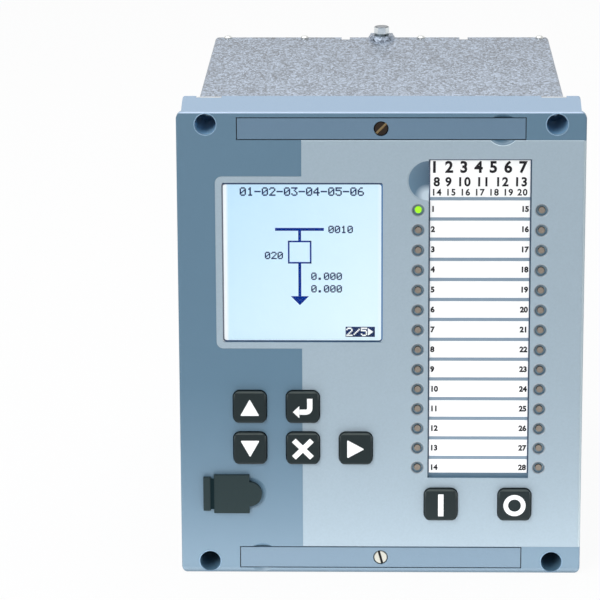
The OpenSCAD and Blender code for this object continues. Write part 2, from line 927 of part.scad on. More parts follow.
// The push switches behind the keys
module key_switches() {
    color([0.15, 0.15, 0.16])
    for (place = key_places) {
        block(place[0], place[1], board_y - switch_body_t, board_y, switch_size, switch_size);
        bar(place[0], place[1], switch_top_y, board_y - switch_body_t, switch_button_r);
    }
}

// The board that carries the display, switches and indicators
module front_board() {
    color([0.1, 0.35, 0.2])
    difference() {
        block(0, 0, board_y, board_y + board_t, board_w, board_h);
        at_board_posts()
            bar(0, 0, board_y - over, board_y + board_t + over, board_hole_r);
    }
}

module board_screws() {
    color([0.75, 0.75, 0.76])
    at_board_posts()
        pan_screw(0, 0, board_y + board_t, board_screw_r, board_screw_t, board_post_bore_r,
                  board_t + board_post_bore_d - 1);
}

// One indicator's light guide, from its lens back to its chip
module light_guide(x, z) {
    bar(x, z, face_y + led_setback, lens_bar_y, led_r);
    bar(x, z, lens_bar_y + lens_bar_t, board_y - chip_t - slip_gap, led_r);
}

// A moulded column of light guides on one carrier
module lens_column(x, first, last) {
    for (row = [first : last])
        light_guide(x, led_z(row));
    block(x, (led_z(first) + led_z(last)) / 2, lens_bar_y, lens_bar_y + lens_bar_t, lens_bar_w,
          led_z(first) - led_z(last) + lens_bar_w);
}

module healthy_lens() {
    color([0.6, 0.95, 0.1])
    lens_column(led_left_x, 0, 0);
}

module left_lenses() {
    color([0.44, 0.44, 0.42])
    lens_column(led_left_x, 1, led_rows - 1);
}

module right_lenses() {
    color([0.44, 0.44, 0.42])
    lens_column(led_right_x, 0, led_rows - 1);
}

module indicator_chips() {
    color([0.95, 0.93, 0.8])
    for (x = [led_left_x, led_right_x], row = [0 : led_rows - 1])
        block(x, led_z(row), board_y - chip_t, board_y, chip_size, chip_size);
}

// The fixed end of the rubber port cover
module cover_strap() {
    color([0.16, 0.2, 0.2])
    translate([0, 0, cover_z - strap_h / 2])
        linear_extrude(strap_h)
            polygon([[strap_left, cover_back_y + slip_gap], [strap_left, cover_front_y],
                     [strap_right - hinge_chamfer, cover_front_y],
                     [strap_right, cover_front_y + hinge_chamfer], [strap_right, cover_back_y + slip_gap]]);
}

// The hinged end: flap, pull tab and the plug that closes the port
module cover_flap() {
    color([0.16, 0.2, 0.2]) {
        translate([0, 0, cover_z - flap_h / 2])
            linear_extrude(flap_h)
                polygon([[flap_left, cover_back_y], [flap_left, cover_front_y + hinge_chamfer],
                         [flap_left + hinge_chamfer, cover_front_y], [flap_right, cover_front_y],
                         [flap_right, cover_back_y]]);
        bar(flap_right, cover_z, cover_front_y, cover_back_y, tab_r);
        difference() {
            block(port_x, cover_z, cover_back_y - over, cover_back_y + port_plug_d,
                  port_w - 2 * port_plug_gap, port_h - 2 * port_plug_gap);
            block(port_x, cover_z, cover_back_y, cover_back_y + port_plug_d + over,
                  port_w - 2 * (port_plug_gap + port_plug_wall),
                  port_h - 2 * (port_plug_gap + port_plug_wall));
        }
    }
}

// The metal-shelled data socket behind the cover
module port_socket() {
    color([0.7, 0.71, 0.72])
    difference() {
        block(port_x, cover_z, socket_y, board_y, socket_mouth_w + 2 * (socket_wall + socket_skirt),
              socket_mouth_h + 2 * (socket_wall + socket_skirt));
        block(port_x, cover_z, wall_y, socket_y + socket_mouth_d, socket_mouth_w, socket_mouth_h);
    }
}

// The steel plate that carries the bezel and backs its fixings
module mounting_plate() {
    color([0.72, 0.74, 0.75])
    difference() {
        union() {
            slab(-plate_t, 0)
                round_rect(cavity_w - 2 * fit_gap, cavity_h - 2 * fit_gap, cavity_corner_r);
            for (x = [-1, 1], z = [-1, 1]) {
                block(x * fixing_dx / 2, z * (lug_top - lug_foot_h / 2), -plate_t, 0, lug_w, lug_foot_h);
                block(x * fixing_dx / 2, z * (lug_top - lug_t / 2), -notch_d + fit_gap, 0, lug_w, lug_t);
            }
        }
        block(0, 0, -plate_t - over, over, case_w - 2 * plate_border_w, case_h - 2 * plate_border_h);
        at_corners(fixing_dx, fixing_dz)
            bar(0, 0, -plate_t - over, over, fixing_bore_r);
        at_corners(2 * plate_post_x, 2 * plate_post_z)
            bar(0, 0, -plate_t - over, over, plate_post_bore_r + fit_gap);
    }
}

// The four screws that draw case, plate and bezel together
module frame_screws() {
    color([0.75, 0.75, 0.76])
    for (x = [-1, 1], z = [-1, 1])
        pan_screw(x * plate_post_x, z * plate_post_z, sheet_t, frame_screw_r, frame_screw_t,
                  plate_post_bore_r, sheet_t + plate_t + frame_screw_bite);
}

// Holes for the frame screws through a flange
module frame_screw_holes() {
    at_corners(2 * plate_post_x, 2 * plate_post_z)
        bar(0, 0, -over, sheet_t + over, plate_post_bore_r + fit_gap);
}

// Floor and sides of the case, folded from one sheet with inward flanges
module case_wrap() {
    side_top = under_cover_z - (bend_r - sheet_t) - slip_gap;
    color([0.66, 0.69, 0.71])
    difference() {
        union() {
            intersection() {
                slab(0, rear_inner_y)
                    difference() {
                        round_rect(inner_w, case_h, bend_r);
                        round_rect(inner_w - 2 * sheet_t, case_h - 2 * sheet_t, bend_r - sheet_t);
                    }
                block(0, (side_top - case_h) / 2, 0, rear_inner_y, case_w, side_top + case_h);
            }
            for (y = [0, rear_inner_y - sheet_t]) {
                for (x = [-1, 1])
                    block(x * (inner_w - sheet_t - flange_w) / 2, -flange_w / 2, y, y + sheet_t, flange_w,
                          case_h - 4 * flange_w);
                block(0, -case_h / 2 + sheet_t / 2 + flange_w / 2, y, y + sheet_t, flange_len, flange_w);
            }
        }
        frame_screw_holes();
        for (x = [-1, 1], z = rear_screw_z)
            bar(x * rear_screw_x, z, rear_inner_y - sheet_t - over, rear_inner_y + over,
                rear_shank_r + slip_gap);
    }
}

// The pressed boss under the earth bolt, open at the rear edge
module boss_form(half_w, top_z) {
    low_z = cover_top_z - sheet_t / 2;
    base_w = half_w + earth_boss_slope * (top_z - low_z) / earth_boss_h;
    translate([0, earth_y, low_z])
        cylinder(h = top_z - low_z, r1 = base_w, r2 = half_w);
    translate([0, rear_y, 0])
        rotate([90, 0, 0])
            linear_extrude(earth_inset)
                polygon([[-base_w, low_z], [base_w, low_z], [half_w, top_z], [-half_w, top_z]]);
}

// The lid: a flat top with short folded sides, a front flange and the boss cut off at the rear edge
module top_cover() {
    color([0.66, 0.69, 0.71])
    difference() {
        union() {
            intersection() {
                slab(0, rear_y)
                    difference() {
                        round_rect(case_w, case_h, bend_r);
                        round_rect(case_w - 2 * sheet_t, case_h - 2 * sheet_t, bend_r - sheet_t);
                    }
                block(0, cover_top_z, 0, rear_y, case_w, 2 * cover_side);
            }
            block(0, under_cover_z + 2 * over - flange_w / 2, 0, sheet_t, flange_len, flange_w);
            boss_form(earth_boss_r, earth_top_z);
        }
        translate([0, 0, -sheet_t])
            intersection() {
                boss_form(earth_boss_r - sheet_t, earth_top_z);
                block(0, cover_top_z, earth_y - earth_boss_r, rear_y + over, case_w, 4 * earth_boss_h);
            }
        block(0, cover_top_z, rear_y, rear_y + 2 * earth_boss_r, case_w, 4 * earth_boss_h);
        for (x = rear_notch_x)
            block(x, cover_top_z, rear_y - rear_notch_d, rear_y + over, rear_notch_w, 4 * sheet_t);
        for (x = cover_screw_x)
            translate([x, rear_y - screw_inset, under_cover_z - over])
                cylinder(h = sheet_t + 2 * over, r = screw_shank_r + 2 * over);
        translate([0, earth_y, cover_top_z - 2 * earth_boss_h])
            cylinder(h = 4 * earth_boss_h, r = earth_bolt_r + fit_gap);
        frame_screw_holes();
    }
}

// Small screws along the rear edge of the lid
module cover_screws() {
    color([0.85, 0.86, 0.87])
    for (x = cover_screw_x)
        translate([x, rear_y - screw_inset, 0]) {
            translate([0, 0, cover_top_z]) {
                cylinder(h = screw_head_t * 0.5, r = cover_screw_r);
                translate([0, 0, screw_head_t * 0.5])
                    cylinder(h = screw_head_t * 0.5, r1 = cover_screw_r, r2 = cover_screw_r * 0.65);
            }
            translate([0, 0, cover_top_z - screw_len])
                cylinder(h = screw_len, r = screw_shank_r);
        }
}

// The rear wall with its top flange and the cut-outs for every terminal
module rear_panel() {
    panel_top = under_cover_z - slip_gap;
    panel_low = -case_h / 2;
    color([0.66, 0.69, 0.71])
    difference() {
        union() {
            slab(rear_inner_y, rear_y)
                translate([0, (panel_top + panel_low) / 2])
                    round_rect(inner_w, panel_top - panel_low, bend_r - sheet_t);
            block(0, panel_top - sheet_t / 2, rear_y - flange_w, rear_inner_y + over,
                  inner_w - 2 * sheet_t - 2 * fit_gap, sheet_t);
        }
        block(analog_x, terminal_z, rear_inner_y - over, rear_y + over, terminal_w - 2 * terminal_step,
              terminal_h - 2 * terminal_step);
        for (plug = plug_places)
            block(plug[0], plug[1], rear_inner_y - over, rear_y + over, plug_w - 2 * plug_step,
                  plug_h(plug) - 2 * plug_step);
        for (z = socket_z)
            block(socket_x, z, rear_inner_y - over, rear_y + over, jack_w + 2 * fit_gap,
                  jack_h + 2 * fit_gap);
        for (x = cover_screw_x)
            translate([x, rear_y - screw_inset, panel_top - sheet_t - over])
                cylinder(h = sheet_t + 2 * over, r = screw_shank_r);
        for (x = [-1, 1], z = rear_screw_z)
            bar(x * rear_screw_x, z, rear_inner_y - over, rear_y + over, rear_shank_r + slip_gap);
        translate([0, earth_y, panel_top - 2 * sheet_t])
            cylinder(h = 4 * sheet_t, r = earth_nut_r + 1.4);
    }
}

module rear_screws() {
    color([0.8, 0.8, 0.8])
    for (x = [-1, 1], z = rear_screw_z)
        pan_screw(x * rear_screw_x, z, rear_y, rear_screw_r, rear_screw_t, rear_shank_r, rear_screw_len);
}

// The hexagon bolt of the earth connection
module earth_bolt() {
    color([0.85, 0.86, 0.84])
    translate([0, earth_y, earth_top_z + earth_washer_t]) {
        intersection() {
            cylinder(h = bolt_head, r = bolt_r, $fn = 6);
            union() {
                cylinder(h = bolt_head - bolt_chamfer, r = bolt_r + over);
                translate([0, 0, bolt_head - bolt_chamfer])
                    cylinder(h = bolt_chamfer, r1 = bolt_r + over, r2 = bolt_flats / 2 - 0.2);
            }
        }
        translate([0, 0, -earth_washer_t - bolt_shank_len])
            cylinder(h = earth_washer_t + bolt_shank_len, r = earth_bolt_r);
    }
}

// The split spring washer under the bolt
module earth_washer() {
    color([0.7, 0.71, 0.7])
    translate([0, earth_y, earth_top_z])
        difference() {
            cylinder(h = earth_washer_t, r = earth_washer_r);
            translate([0, 0, -over])
                cylinder(h = earth_washer_t + 2 * over, r = earth_bolt_r + fit_gap);
            rotate(-60)
                translate([earth_bolt_r / 2, -earth_split / 2, -over])
                    cube([earth_washer_r, earth_split, earth_washer_t + 2 * over]);
        }
}

// The nut held under the boss
module earth_nut() {
    color([0.75, 0.75, 0.72])
    translate([0, earth_y, earth_top_z - sheet_t - earth_nut_t])
        difference() {
            rotate(30)
                cylinder(h = earth_nut_t, r = earth_nut_r, $fn = 6);
            translate([0, 0, -over])
                cylinder(h = earth_nut_t + 2 * over, r = earth_bolt_r);
        }
}

// Grooved rails that hold the upright boards, above and below
module card_guides() {
    color([0.9, 0.9, 0.85])
    for (x = card_x) {
        difference() {
            block(x, inner_bottom_z + guide_h / 2, guide_y, guide_y + guide_len, guide_w, guide_h);
            block(x, inner_bottom_z + guide_h, guide_y - over, guide_y + guide_len + over,
                  board_t + 2 * fit_gap, 2 * guide_groove);
        }
        difference() {
            block(x, inner_top_z - guide_h / 2, guide_y, guide_y + guide_len, guide_w, guide_h);
            block(x, inner_top_z - guide_h, guide_y - over, guide_y + guide_len + over,
                  board_t + 2 * fit_gap, 2 * guide_groove);
        }
    }
}

// An upright board in its guides
module card(x) {
    block(x, (card_top_z + card_bottom_z) / 2, card_y, card_y + card_len, board_t,
          card_top_z - card_bottom_z);
}

module analog_board() {
    color([0.1, 0.35, 0.2])
    card(analog_x);
}

module output_board() {
    color([0.1, 0.35, 0.2])
    card(output_x);
}

module input_board() {
    color([0.1, 0.35, 0.2])
    card(input_x);
}

module processor_board() {
    color([0.1, 0.35, 0.2])
    card(processor_x);
}

// The board that joins the upright boards at the front
module bus_board() {
    color([0.1, 0.35, 0.2])
    block(0, 0, bus_y, bus_y + board_t, bus_w, bus_h);
}

module bus_connectors() {
    color([0.85, 0.85, 0.8])
    for (x = card_x)
        difference() {
            block(x, 0, bus_y + board_t, card_y + connector_grip, connector_w, connector_h);
            block(x, 0, card_y, card_y + connector_grip + over, board_t, connector_h + 2 * over);
        }
}

// The flat cable from the front board to the bus board, with its two sockets
module ribbon_cable() {
    start_y = board_y + board_t;
    color([0.75, 0.76, 0.78]) {
        block(0, ribbon_z, start_y, start_y + ribbon_socket_t, ribbon_socket_w, ribbon_socket_h);
        block(0, ribbon_z, bus_y - ribbon_socket_t, bus_y, ribbon_socket_w, ribbon_socket_h);
        block(0, ribbon_z, start_y + ribbon_socket_t, bus_y - ribbon_socket_t, ribbon_w, ribbon_t);
    }
}

// Height of a part in a column that fills an upright board from top to bottom
function column_z(row, rows, h) =
    parts_top_z - h / 2 - row * (parts_top_z - parts_bottom_z - h) / (rows - 1);

// Potted current transformers beside the current terminals
module current_transformers() {
    x = analog_side + core_w / 2;
    color([0.12, 0.2, 0.35])
    for (row = [0 : core_rows - 1])
        difference() {
            block(x, column_z(row, core_rows, core_h), core_y, core_y + core_len, core_w, core_h);
            bar(x, column_z(row, core_rows, core_h), core_y - over, core_y + core_len + over, core_hole_r);
        }
}

module voltage_transformers() {
    color([0.15, 0.15, 0.16])
    for (row = [0 : core_rows - 1])
        block(analog_side + small_core_w / 2, column_z(row, core_rows, small_core_h), small_core_y,
              small_core_y + small_core_len, small_core_w, small_core_h);
}

module output_relays() {
    color([0.85, 0.5, 0.15])
    for (row = [0 : relay_rows - 1], y = relay_y)
        block(output_side + relay_w / 2, column_z(row, relay_rows, relay_h), y, y + relay_len, relay_w,
              relay_h);
}

module input_couplers() {
    color([0.1, 0.1, 0.1])
    for (row = [0 : coupler_rows - 1])
        block(input_side + coupler_w / 2, column_z(row, coupler_rows, coupler_h), coupler_y,
              coupler_y + coupler_len, coupler_w, coupler_h);
}

// The wound transformer of the power supply: a laminated frame round its coil
module power_transformer() {
    x = processor_side - winding_w / 2;
    color([0.3, 0.28, 0.26]) {
        difference() {
            block(x, winding_z, winding_y, winding_y + winding_len, winding_w, winding_h);
            block(x, winding_z, winding_y + winding_limb, winding_y + winding_len - winding_limb,
                  winding_w + 2 * over, winding_h - 2 * winding_limb);
        }
        block(x, winding_z, winding_y + winding_limb + winding_inset,
              winding_y + winding_len - winding_limb - winding_inset, winding_w - 2 * winding_inset,
              winding_h - 2 * winding_limb + over);
    }
}

module power_capacitors() {
    color([0.1, 0.12, 0.2])
    for (place = [0 : 2])
        translate([processor_side - capacitor_len, capacitor_y,
                   parts_bottom_z + capacitor_r + place * capacitor_pitch])
            rotate([0, 90, 0])
                cylinder(h = capacitor_len, r = capacitor_r);
}

// A finned heat sink on the power stage
module heat_sink() {
    color([0.7, 0.7, 0.72])
    translate([processor_side - sink_base_t - sink_fin_len, sink_y, sink_z]) {
        translate([sink_fin_len, 0, 0])
            cube([sink_base_t, sink_len, sink_h]);
        for (fin = [0 : sink_fins - 1])
            translate([0, 0, fin * (sink_h - sink_fin_t) / (sink_fins - 1)])
                cube([sink_fin_len + over, sink_len, sink_fin_t]);
    }
}

module processor_chips() {
    color([0.08, 0.08, 0.08]) {
        block(processor_side - chip_w / 2, main_chip_z, main_chip_y, main_chip_y + chip_len, chip_w,
              chip_len);
        for (step = [-1, 1])
            block(processor_side - memory_w / 2, main_chip_z + step * memory_dz / 2, memory_y,
                  memory_y + memory_len, memory_w, memory_h);
    }
}

module backup_battery() {
    color([0.75, 0.75, 0.74])
    translate([processor_side - battery_t, battery_y, battery_z])
        rotate([0, 90, 0])
            cylinder(h = battery_t, r = battery_r);
}

// Height of each row of current terminals
function terminal_row_z(row) = terminal_z + (row - (terminal_rows - 1) / 2) * terminal_pitch;

// The barrier block of the current terminals, open to its two sides
module current_terminals() {
    color([0.12, 0.12, 0.13])
    difference() {
        union() {
            block(analog_x, terminal_z, rear_y - terminal_inside, rear_y + over,
                  terminal_w - 2 * (terminal_step + fit_gap), terminal_h - 2 * (terminal_step + fit_gap));
            block(analog_x, terminal_z, rear_y, rear_y + terminal_proud, terminal_w, terminal_h);
        }
        for (side = [-1, 1], row = [0 : terminal_rows - 1])
            block(analog_x + side * (terminal_screw_x + over), terminal_row_z(row), terminal_floor_y,
                  rear_y + terminal_proud + over, terminal_pocket_w + 2 * over, terminal_pocket_h);
    }
}

// The contact plates on the floors of its pockets, threaded for the screws
module terminal_plates() {
    color([0.8, 0.7, 0.4])
    for (side = [-1, 1], row = [0 : terminal_rows - 1])
        difference() {
            block(analog_x + side * terminal_screw_x, terminal_row_z(row), terminal_floor_y,
                  terminal_floor_y + terminal_plate_t, terminal_pocket_w - 1,
                  terminal_pocket_h - 2 * fit_gap);
            bar(analog_x + side * terminal_screw_x, terminal_row_z(row), terminal_floor_y - over,
                terminal_floor_y + terminal_plate_t + over, terminal_shank_r + slip_gap);
        }
}

module terminal_screws() {
    color([0.8, 0.78, 0.7])
    for (side = [-1, 1], row = [0 : terminal_rows - 1])
        pan_screw(analog_x + side * terminal_screw_x, terminal_row_z(row),
                  terminal_floor_y + terminal_plate_t, terminal_screw_r, terminal_screw_t,
                  terminal_shank_r, terminal_plate_t - slip_gap);
}

// Height of a pluggable terminal, and of each of its ways
function plug_h(plug) = plug[2] * plug_pitch + plug_margin;
function way_z(plug, way) = plug[1] + (way - (plug[2] - 1) / 2) * plug_pitch;

// Pluggable terminals: a row of wire entries beside a row of clamp screws
module plug_terminals() {
    color([0.15, 0.3, 0.2])
    for (plug = plug_places)
        difference() {
            union() {
                block(plug[0], plug[1], rear_y - plug_inside, rear_y + over,
                      plug_w - 2 * (plug_step + fit_gap), plug_h(plug) - 2 * (plug_step + fit_gap));
                block(plug[0], plug[1], rear_y, plug_end_y, plug_w, plug_h(plug));
            }
            for (way = [0 : plug[2] - 1]) {
                block(plug[0] + entry_x, way_z(plug, way), plug_end_y - entry_d, plug_end_y + over,
                      entry_w, entry_h);
                bar(plug[0] + clamp_x, way_z(plug, way), plug_end_y - clamp_bore_d, plug_end_y + over,
                    clamp_bore_r);
            }
        }
}

module plug_screws() {
    screw_y = plug_end_y - clamp_bore_d;
    color([0.8, 0.8, 0.78])
    for (plug = plug_places, way = [0 : plug[2] - 1])
        difference() {
            bar(plug[0] + clamp_x, way_z(plug, way), screw_y, screw_y + clamp_t, clamp_r);
            block(plug[0] + clamp_x, way_z(plug, way), screw_y + clamp_t - clamp_slot_d,
                  screw_y + clamp_t + over, clamp_slot_w, 2 * clamp_r + over);
        }
}

// Two shielded network sockets
module network_sockets() {
    start_y = rear_y + jack_proud - jack_d;
    color([0.7, 0.71, 0.72])
    for (z = socket_z)
        difference() {
            block(socket_x, z, start_y, rear_y + jack_proud, jack_w, jack_h);
            block(socket_x, z - jack_drop, start_y + jack_back_t, rear_y + jack_proud + over,
                  jack_mouth_w, jack_mouth_h);
        }
}

front_bezel();
face_film();
clear_pane();
display_panel();
display_frame();
label_card();
top_strip();
bottom_strip();
top_strip_screw();
bottom_strip_screw();
up_key();
down_key();
enter_key();
cancel_key();
right_key();
on_key();
off_key();
key_switches();
front_board();
board_screws();
healthy_lens();
left_lenses();
right_lenses();
indicator_chips();
cover_strap();
cover_flap();
port_socket();
mounting_plate();
frame_screws();
case_wrap();
top_cover();
rear_panel();
cover_screws();
rear_screws();
earth_bolt();
earth_washer();
earth_nut();
card_guides();
bus_board();
bus_connectors();
ribbon_cable();
analog_board();
output_board();
input_board();
processor_board();
current_transformers();
voltage_transformers();
output_relays();
input_couplers();
power_transformer();
power_capacitors();
heat_sink();
processor_chips();
backup_battery();
current_terminals();
terminal_plates();
terminal_screws();
plug_terminals();
plug_screws();
network_sockets();
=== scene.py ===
# Looks of the panel-mounted monitoring relay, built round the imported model.
# Metres, +X right, +Y from the face to the rear, +Z up.
import math

import bmesh
import bpy
import numpy as np
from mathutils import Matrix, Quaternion, Vector


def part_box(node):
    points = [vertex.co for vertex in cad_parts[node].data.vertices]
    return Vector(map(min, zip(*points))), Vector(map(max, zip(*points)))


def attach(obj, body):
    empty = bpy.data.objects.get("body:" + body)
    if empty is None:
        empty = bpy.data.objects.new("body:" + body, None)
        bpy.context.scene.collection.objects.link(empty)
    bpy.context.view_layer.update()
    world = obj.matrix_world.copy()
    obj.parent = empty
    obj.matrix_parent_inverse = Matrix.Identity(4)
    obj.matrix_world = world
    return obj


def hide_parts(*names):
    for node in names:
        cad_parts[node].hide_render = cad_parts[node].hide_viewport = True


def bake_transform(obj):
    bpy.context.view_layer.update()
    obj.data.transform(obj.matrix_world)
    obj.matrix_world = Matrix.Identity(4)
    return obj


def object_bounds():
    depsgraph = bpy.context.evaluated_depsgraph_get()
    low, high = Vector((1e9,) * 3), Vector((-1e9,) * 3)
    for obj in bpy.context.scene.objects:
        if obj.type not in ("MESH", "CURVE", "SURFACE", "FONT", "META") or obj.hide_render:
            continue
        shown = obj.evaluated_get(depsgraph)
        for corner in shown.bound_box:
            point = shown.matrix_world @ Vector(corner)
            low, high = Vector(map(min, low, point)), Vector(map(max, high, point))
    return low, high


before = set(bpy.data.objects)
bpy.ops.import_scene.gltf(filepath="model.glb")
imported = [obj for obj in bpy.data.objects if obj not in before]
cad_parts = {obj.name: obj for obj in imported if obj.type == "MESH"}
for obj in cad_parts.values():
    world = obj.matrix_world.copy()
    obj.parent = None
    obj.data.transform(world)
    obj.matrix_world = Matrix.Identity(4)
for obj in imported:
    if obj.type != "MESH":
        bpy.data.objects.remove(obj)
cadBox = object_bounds()
millimetre = 0.001
mainBody = "relay_body"
print("frame loaded:", len(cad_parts), "nodes")


def tone(red, green, blue):
    # sRGB steps of 0 to 255, turned into the linear colour that a socket holds
    steps = np.array([red, green, blue]) / 255
    linear = np.where(steps <= 0.04045, steps / 12.92, ((steps + 0.055) / 1.055) ** 2.4)
    return (*linear.tolist(), 1.0)


def middleOf(node):
    # halfway between the two corners of a node's box
    low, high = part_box(node)
    return (low + high) / 2


# Camera: where it stands, what it looks at and its lens
cameraValues = {
    "place": (0.0012, -1.231, 0.3299),
    "target": (-0.0299, -0.031, 0.0178),
    "lens": 201.2,
    "roll": -0.005,
    "clipStart": 0.05,
}
cameraData = bpy.data.cameras.new("camera")
cameraData.lens = cameraValues["lens"]
cameraData.clip_start = cameraValues["clipStart"]
camera = bpy.data.objects.new("camera", cameraData)
bpy.context.scene.collection.objects.link(camera)
camera.location = cameraValues["place"]
lookLine = Vector(cameraValues["target"]) - camera.location
camera.rotation_mode = "QUATERNION"
camera.rotation_quaternion = lookLine.to_track_quat("-Z", "Y") @ Quaternion((0, 0, 1), cameraValues["roll"])
bpy.context.scene.camera = camera
bpy.context.scene.view_settings.view_transform = "Standard"
print("camera set")


# Ways to build a material's nodes
def newMaterial(name):
    material = bpy.data.materials.new(name)
    material.use_nodes = True
    return material


def shaderOf(material):
    return material.node_tree.nodes["Principled BSDF"]


def setSockets(node, values):
    # fixed values of a node's sockets, with _ for a space in a socket's name
    for name, value in values.items():
        node.inputs[name.replace("_", " ")].default_value = value


def plug(tree, value, socket):
    # another node's output is linked to the socket, a number or a colour is set on it
    if isinstance(value, bpy.types.NodeSocket):
        tree.links.new(value, socket)
    else:
        socket.default_value = value


def calc(tree, operation, *values):
    # one Math node, given numbers or other nodes' outputs
    node = tree.nodes.new("ShaderNodeMath")
    node.operation = operation
    for socket, value in zip(node.inputs, values):
        plug(tree, value, socket)
    return node.outputs[0]


def vectorCalc(tree, operation, vector, socket, value):
    # one Vector Math node: a vector or colour and what it is multiplied or scaled by
    node = tree.nodes.new("ShaderNodeVectorMath")
    node.operation = operation
    tree.links.new(vector, node.inputs[0])
    plug(tree, value, node.inputs[socket])
    return node.outputs[0]


def allOf(tree, first, *others):
    # the product of several shares, so 1 only where each of them is 1
    for other in others:
        first = calc(tree, "MULTIPLY", first, other)
    return first


def ramp(tree, value, start, end):
    # 0 at the start and before it, 1 at the end and past it
    share = calc(tree, "DIVIDE", calc(tree, "SUBTRACT", value, start), end - start)
    return calc(tree, "MINIMUM", calc(tree, "MAXIMUM", share, 0.0), 1.0)


def farFrom(tree, across, upward):
    # distance from a point, given the two offsets from it
    squares = [calc(tree, "POWER", offset, 2.0) for offset in (across, upward)]
    return calc(tree, "SQRT", calc(tree, "ADD", *squares))


def blendColor(tree, share, first, second):
    # first where the share is 0, second where it is 1
    node = tree.nodes.new("ShaderNodeMix")
    node.data_type = "RGBA"
    for name, value in (("Factor", share), ("A", first), ("B", second)):
        plug(tree, value, node.inputs[name])
    return node.outputs["Result"]


def objectPlace(tree):
    return tree.nodes.new("ShaderNodeTexCoord").outputs["Object"]


def placeParts(tree):
    # the object's own X, Y and Z
    parts = tree.nodes.new("ShaderNodeSeparateXYZ")
    tree.links.new(objectPlace(tree), parts.inputs[0])
    return parts.outputs


def noise(tree, vector, scale, detail=2.0):
    node = tree.nodes.new("ShaderNodeTexNoise")
    node.inputs["Detail"].default_value = detail
    tree.links.new(vector, node.inputs["Vector"])
    plug(tree, scale, node.inputs["Scale"])
    return node.outputs["Fac"]


def bumped(tree, height, distance):
    # the surface's normal, tilted by a pattern's height
    node = tree.nodes.new("ShaderNodeBump")
    plug(tree, distance, node.inputs["Distance"])
    tree.links.new(height, node.inputs["Height"])
    return node.outputs["Normal"]


# Floor, world and lamps
stageValues = {
    "floorHalf": 3.0, "floorColor": (0.85, 0.85, 0.85, 1), "floorRough": 0.9, "floorGlow": 0.93,
    "worldTint": (0.93, 0.96, 1.0, 1.0), "worldLight": 0.42,
}
lampValues = {
    "overhead": {"place": (-0.3, 0.02, 1.5), "aim": (0, 0.02, 0), "size": (1.5, 1.5), "power": 12},
    "rear": {"place": (0.1, 0.75, 1.2), "aim": (0, 0.08, 0.05), "size": (0.9, 0.9), "power": 3},
    "front": {"place": (-0.9, -1.7, 1.1), "aim": (0, -0.03, 0), "size": (1.1, 1.1), "power": 22},
    "foot": {"place": (0.0, -0.062, -0.0878), "aim": (0.0, -0.062, 1.0), "size": (0.32, 0.06), "power": 0.09},
}


def addLamp(name, values):
    # an area lamp, turned to face the place it is aimed at and not seen by the camera
    data = bpy.data.lights.new(name, "AREA")
    data.shape = "RECTANGLE"
    data.size, data.size_y = values["size"]
    data.energy = values["power"]
    lamp = bpy.data.objects.new(name, data)
    lamp.location = values["place"]
    lamp.rotation_euler = (Vector(values["aim"]) - lamp.location).to_track_quat("-Z", "Y").to_euler()
    lamp.visible_camera = False
    bpy.context.scene.collection.objects.link(lamp)


def shownRays(tree):
    # 1 for camera, glossy and transmission rays, which see the plain white surroundings
    path = tree.nodes.new("ShaderNodeLightPath")
    total = path.outputs["Is Camera Ray"]
    for ray in ("Is Glossy Ray", "Is Transmission Ray"):
        total = calc(tree, "MAXIMUM", total, path.outputs[ray])
    return total


def mixShaders(tree, share, first, second, end):
    # first where the share is 0, second where it is 1, led to the surface of the end node
    mixed = tree.nodes.new("ShaderNodeMixShader")
    for socket, output in zip(mixed.inputs, (share, first.outputs[0], second.outputs[0])):
        tree.links.new(output, socket)
    tree.links.new(mixed.outputs[0], tree.nodes[end].inputs["Surface"])


def buildWorld():
    # a soft tint lights the part, and plain white is what is seen
    world = bpy.data.worlds.new("studio")
    bpy.context.scene.world = world
    world.use_nodes = True
    tree = world.node_tree
    soft = tree.nodes["Background"]
    setSockets(soft, {"Color": stageValues["worldTint"], "Strength": stageValues["worldLight"]})
    white = tree.nodes.new("ShaderNodeBackground")
    white.inputs["Color"].default_value = (1, 1, 1, 1)
    mixShaders(tree, shownRays(tree), soft, white, "World Output")


def buildFloor():
    # a square at the foot of the part, nearly white where it is seen
    half = stageValues["floorHalf"]
    mesh = bpy.data.meshes.new("floor")
    mesh.from_pydata([(x * half, y * half, cadBox[0].z) for x, y in ((-1, -1), (1, -1), (1, 1), (-1, 1))], [],
                     [(0, 1, 2, 3)])
    floor = bpy.data.objects.new("floor", mesh)
    bpy.context.scene.collection.objects.link(floor)
    material = newMaterial("floor")
    tree, matt = material.node_tree, shaderOf(material)
    setSockets(matt, {"Base Color": stageValues["floorColor"], "Roughness": stageValues["floorRough"]})
    glow = tree.nodes.new("ShaderNodeEmission")
    share = calc(tree, "MULTIPLY", shownRays(tree), stageValues["floorGlow"])
    mixShaders(tree, share, matt, glow, "Material Output")
    mesh.materials.append(material)


buildWorld()
buildFloor()
for lampName, lampSetting in lampValues.items():
    addLamp(lampName, lampSetting)
print("stage and lamps set")


# Shader node groups that several finishes share
grainValues = {"cloudScale": 35, "cloudDetail": 3, "cloud": 0.03}
drawnValues = {"stretch": (1.0, 0.08, 1.0), "lineDetail": 3, "cloudScale": 180}


def newGroup(name, numbers):
    # given a place, a colour and some numbers, a group makes a colour, a roughness and a normal
    group = bpy.data.node_groups.new(name, "ShaderNodeTree")
    kinds = [("Vector", "INPUT", "Vector"), ("Color", "INPUT", "Color"),
             *((number, "INPUT", "Float") for number in numbers),
             ("Color", "OUTPUT", "Color"), ("Roughness", "OUTPUT", "Float"), ("Normal", "OUTPUT", "Vector")]
    for socketName, way, kind in kinds:
        group.interface.new_socket(name=socketName, in_out=way, socket_type="NodeSocket" + kind)
    return group, group.nodes.new("NodeGroupInput").outputs, group.nodes.new("NodeGroupOutput").inputs


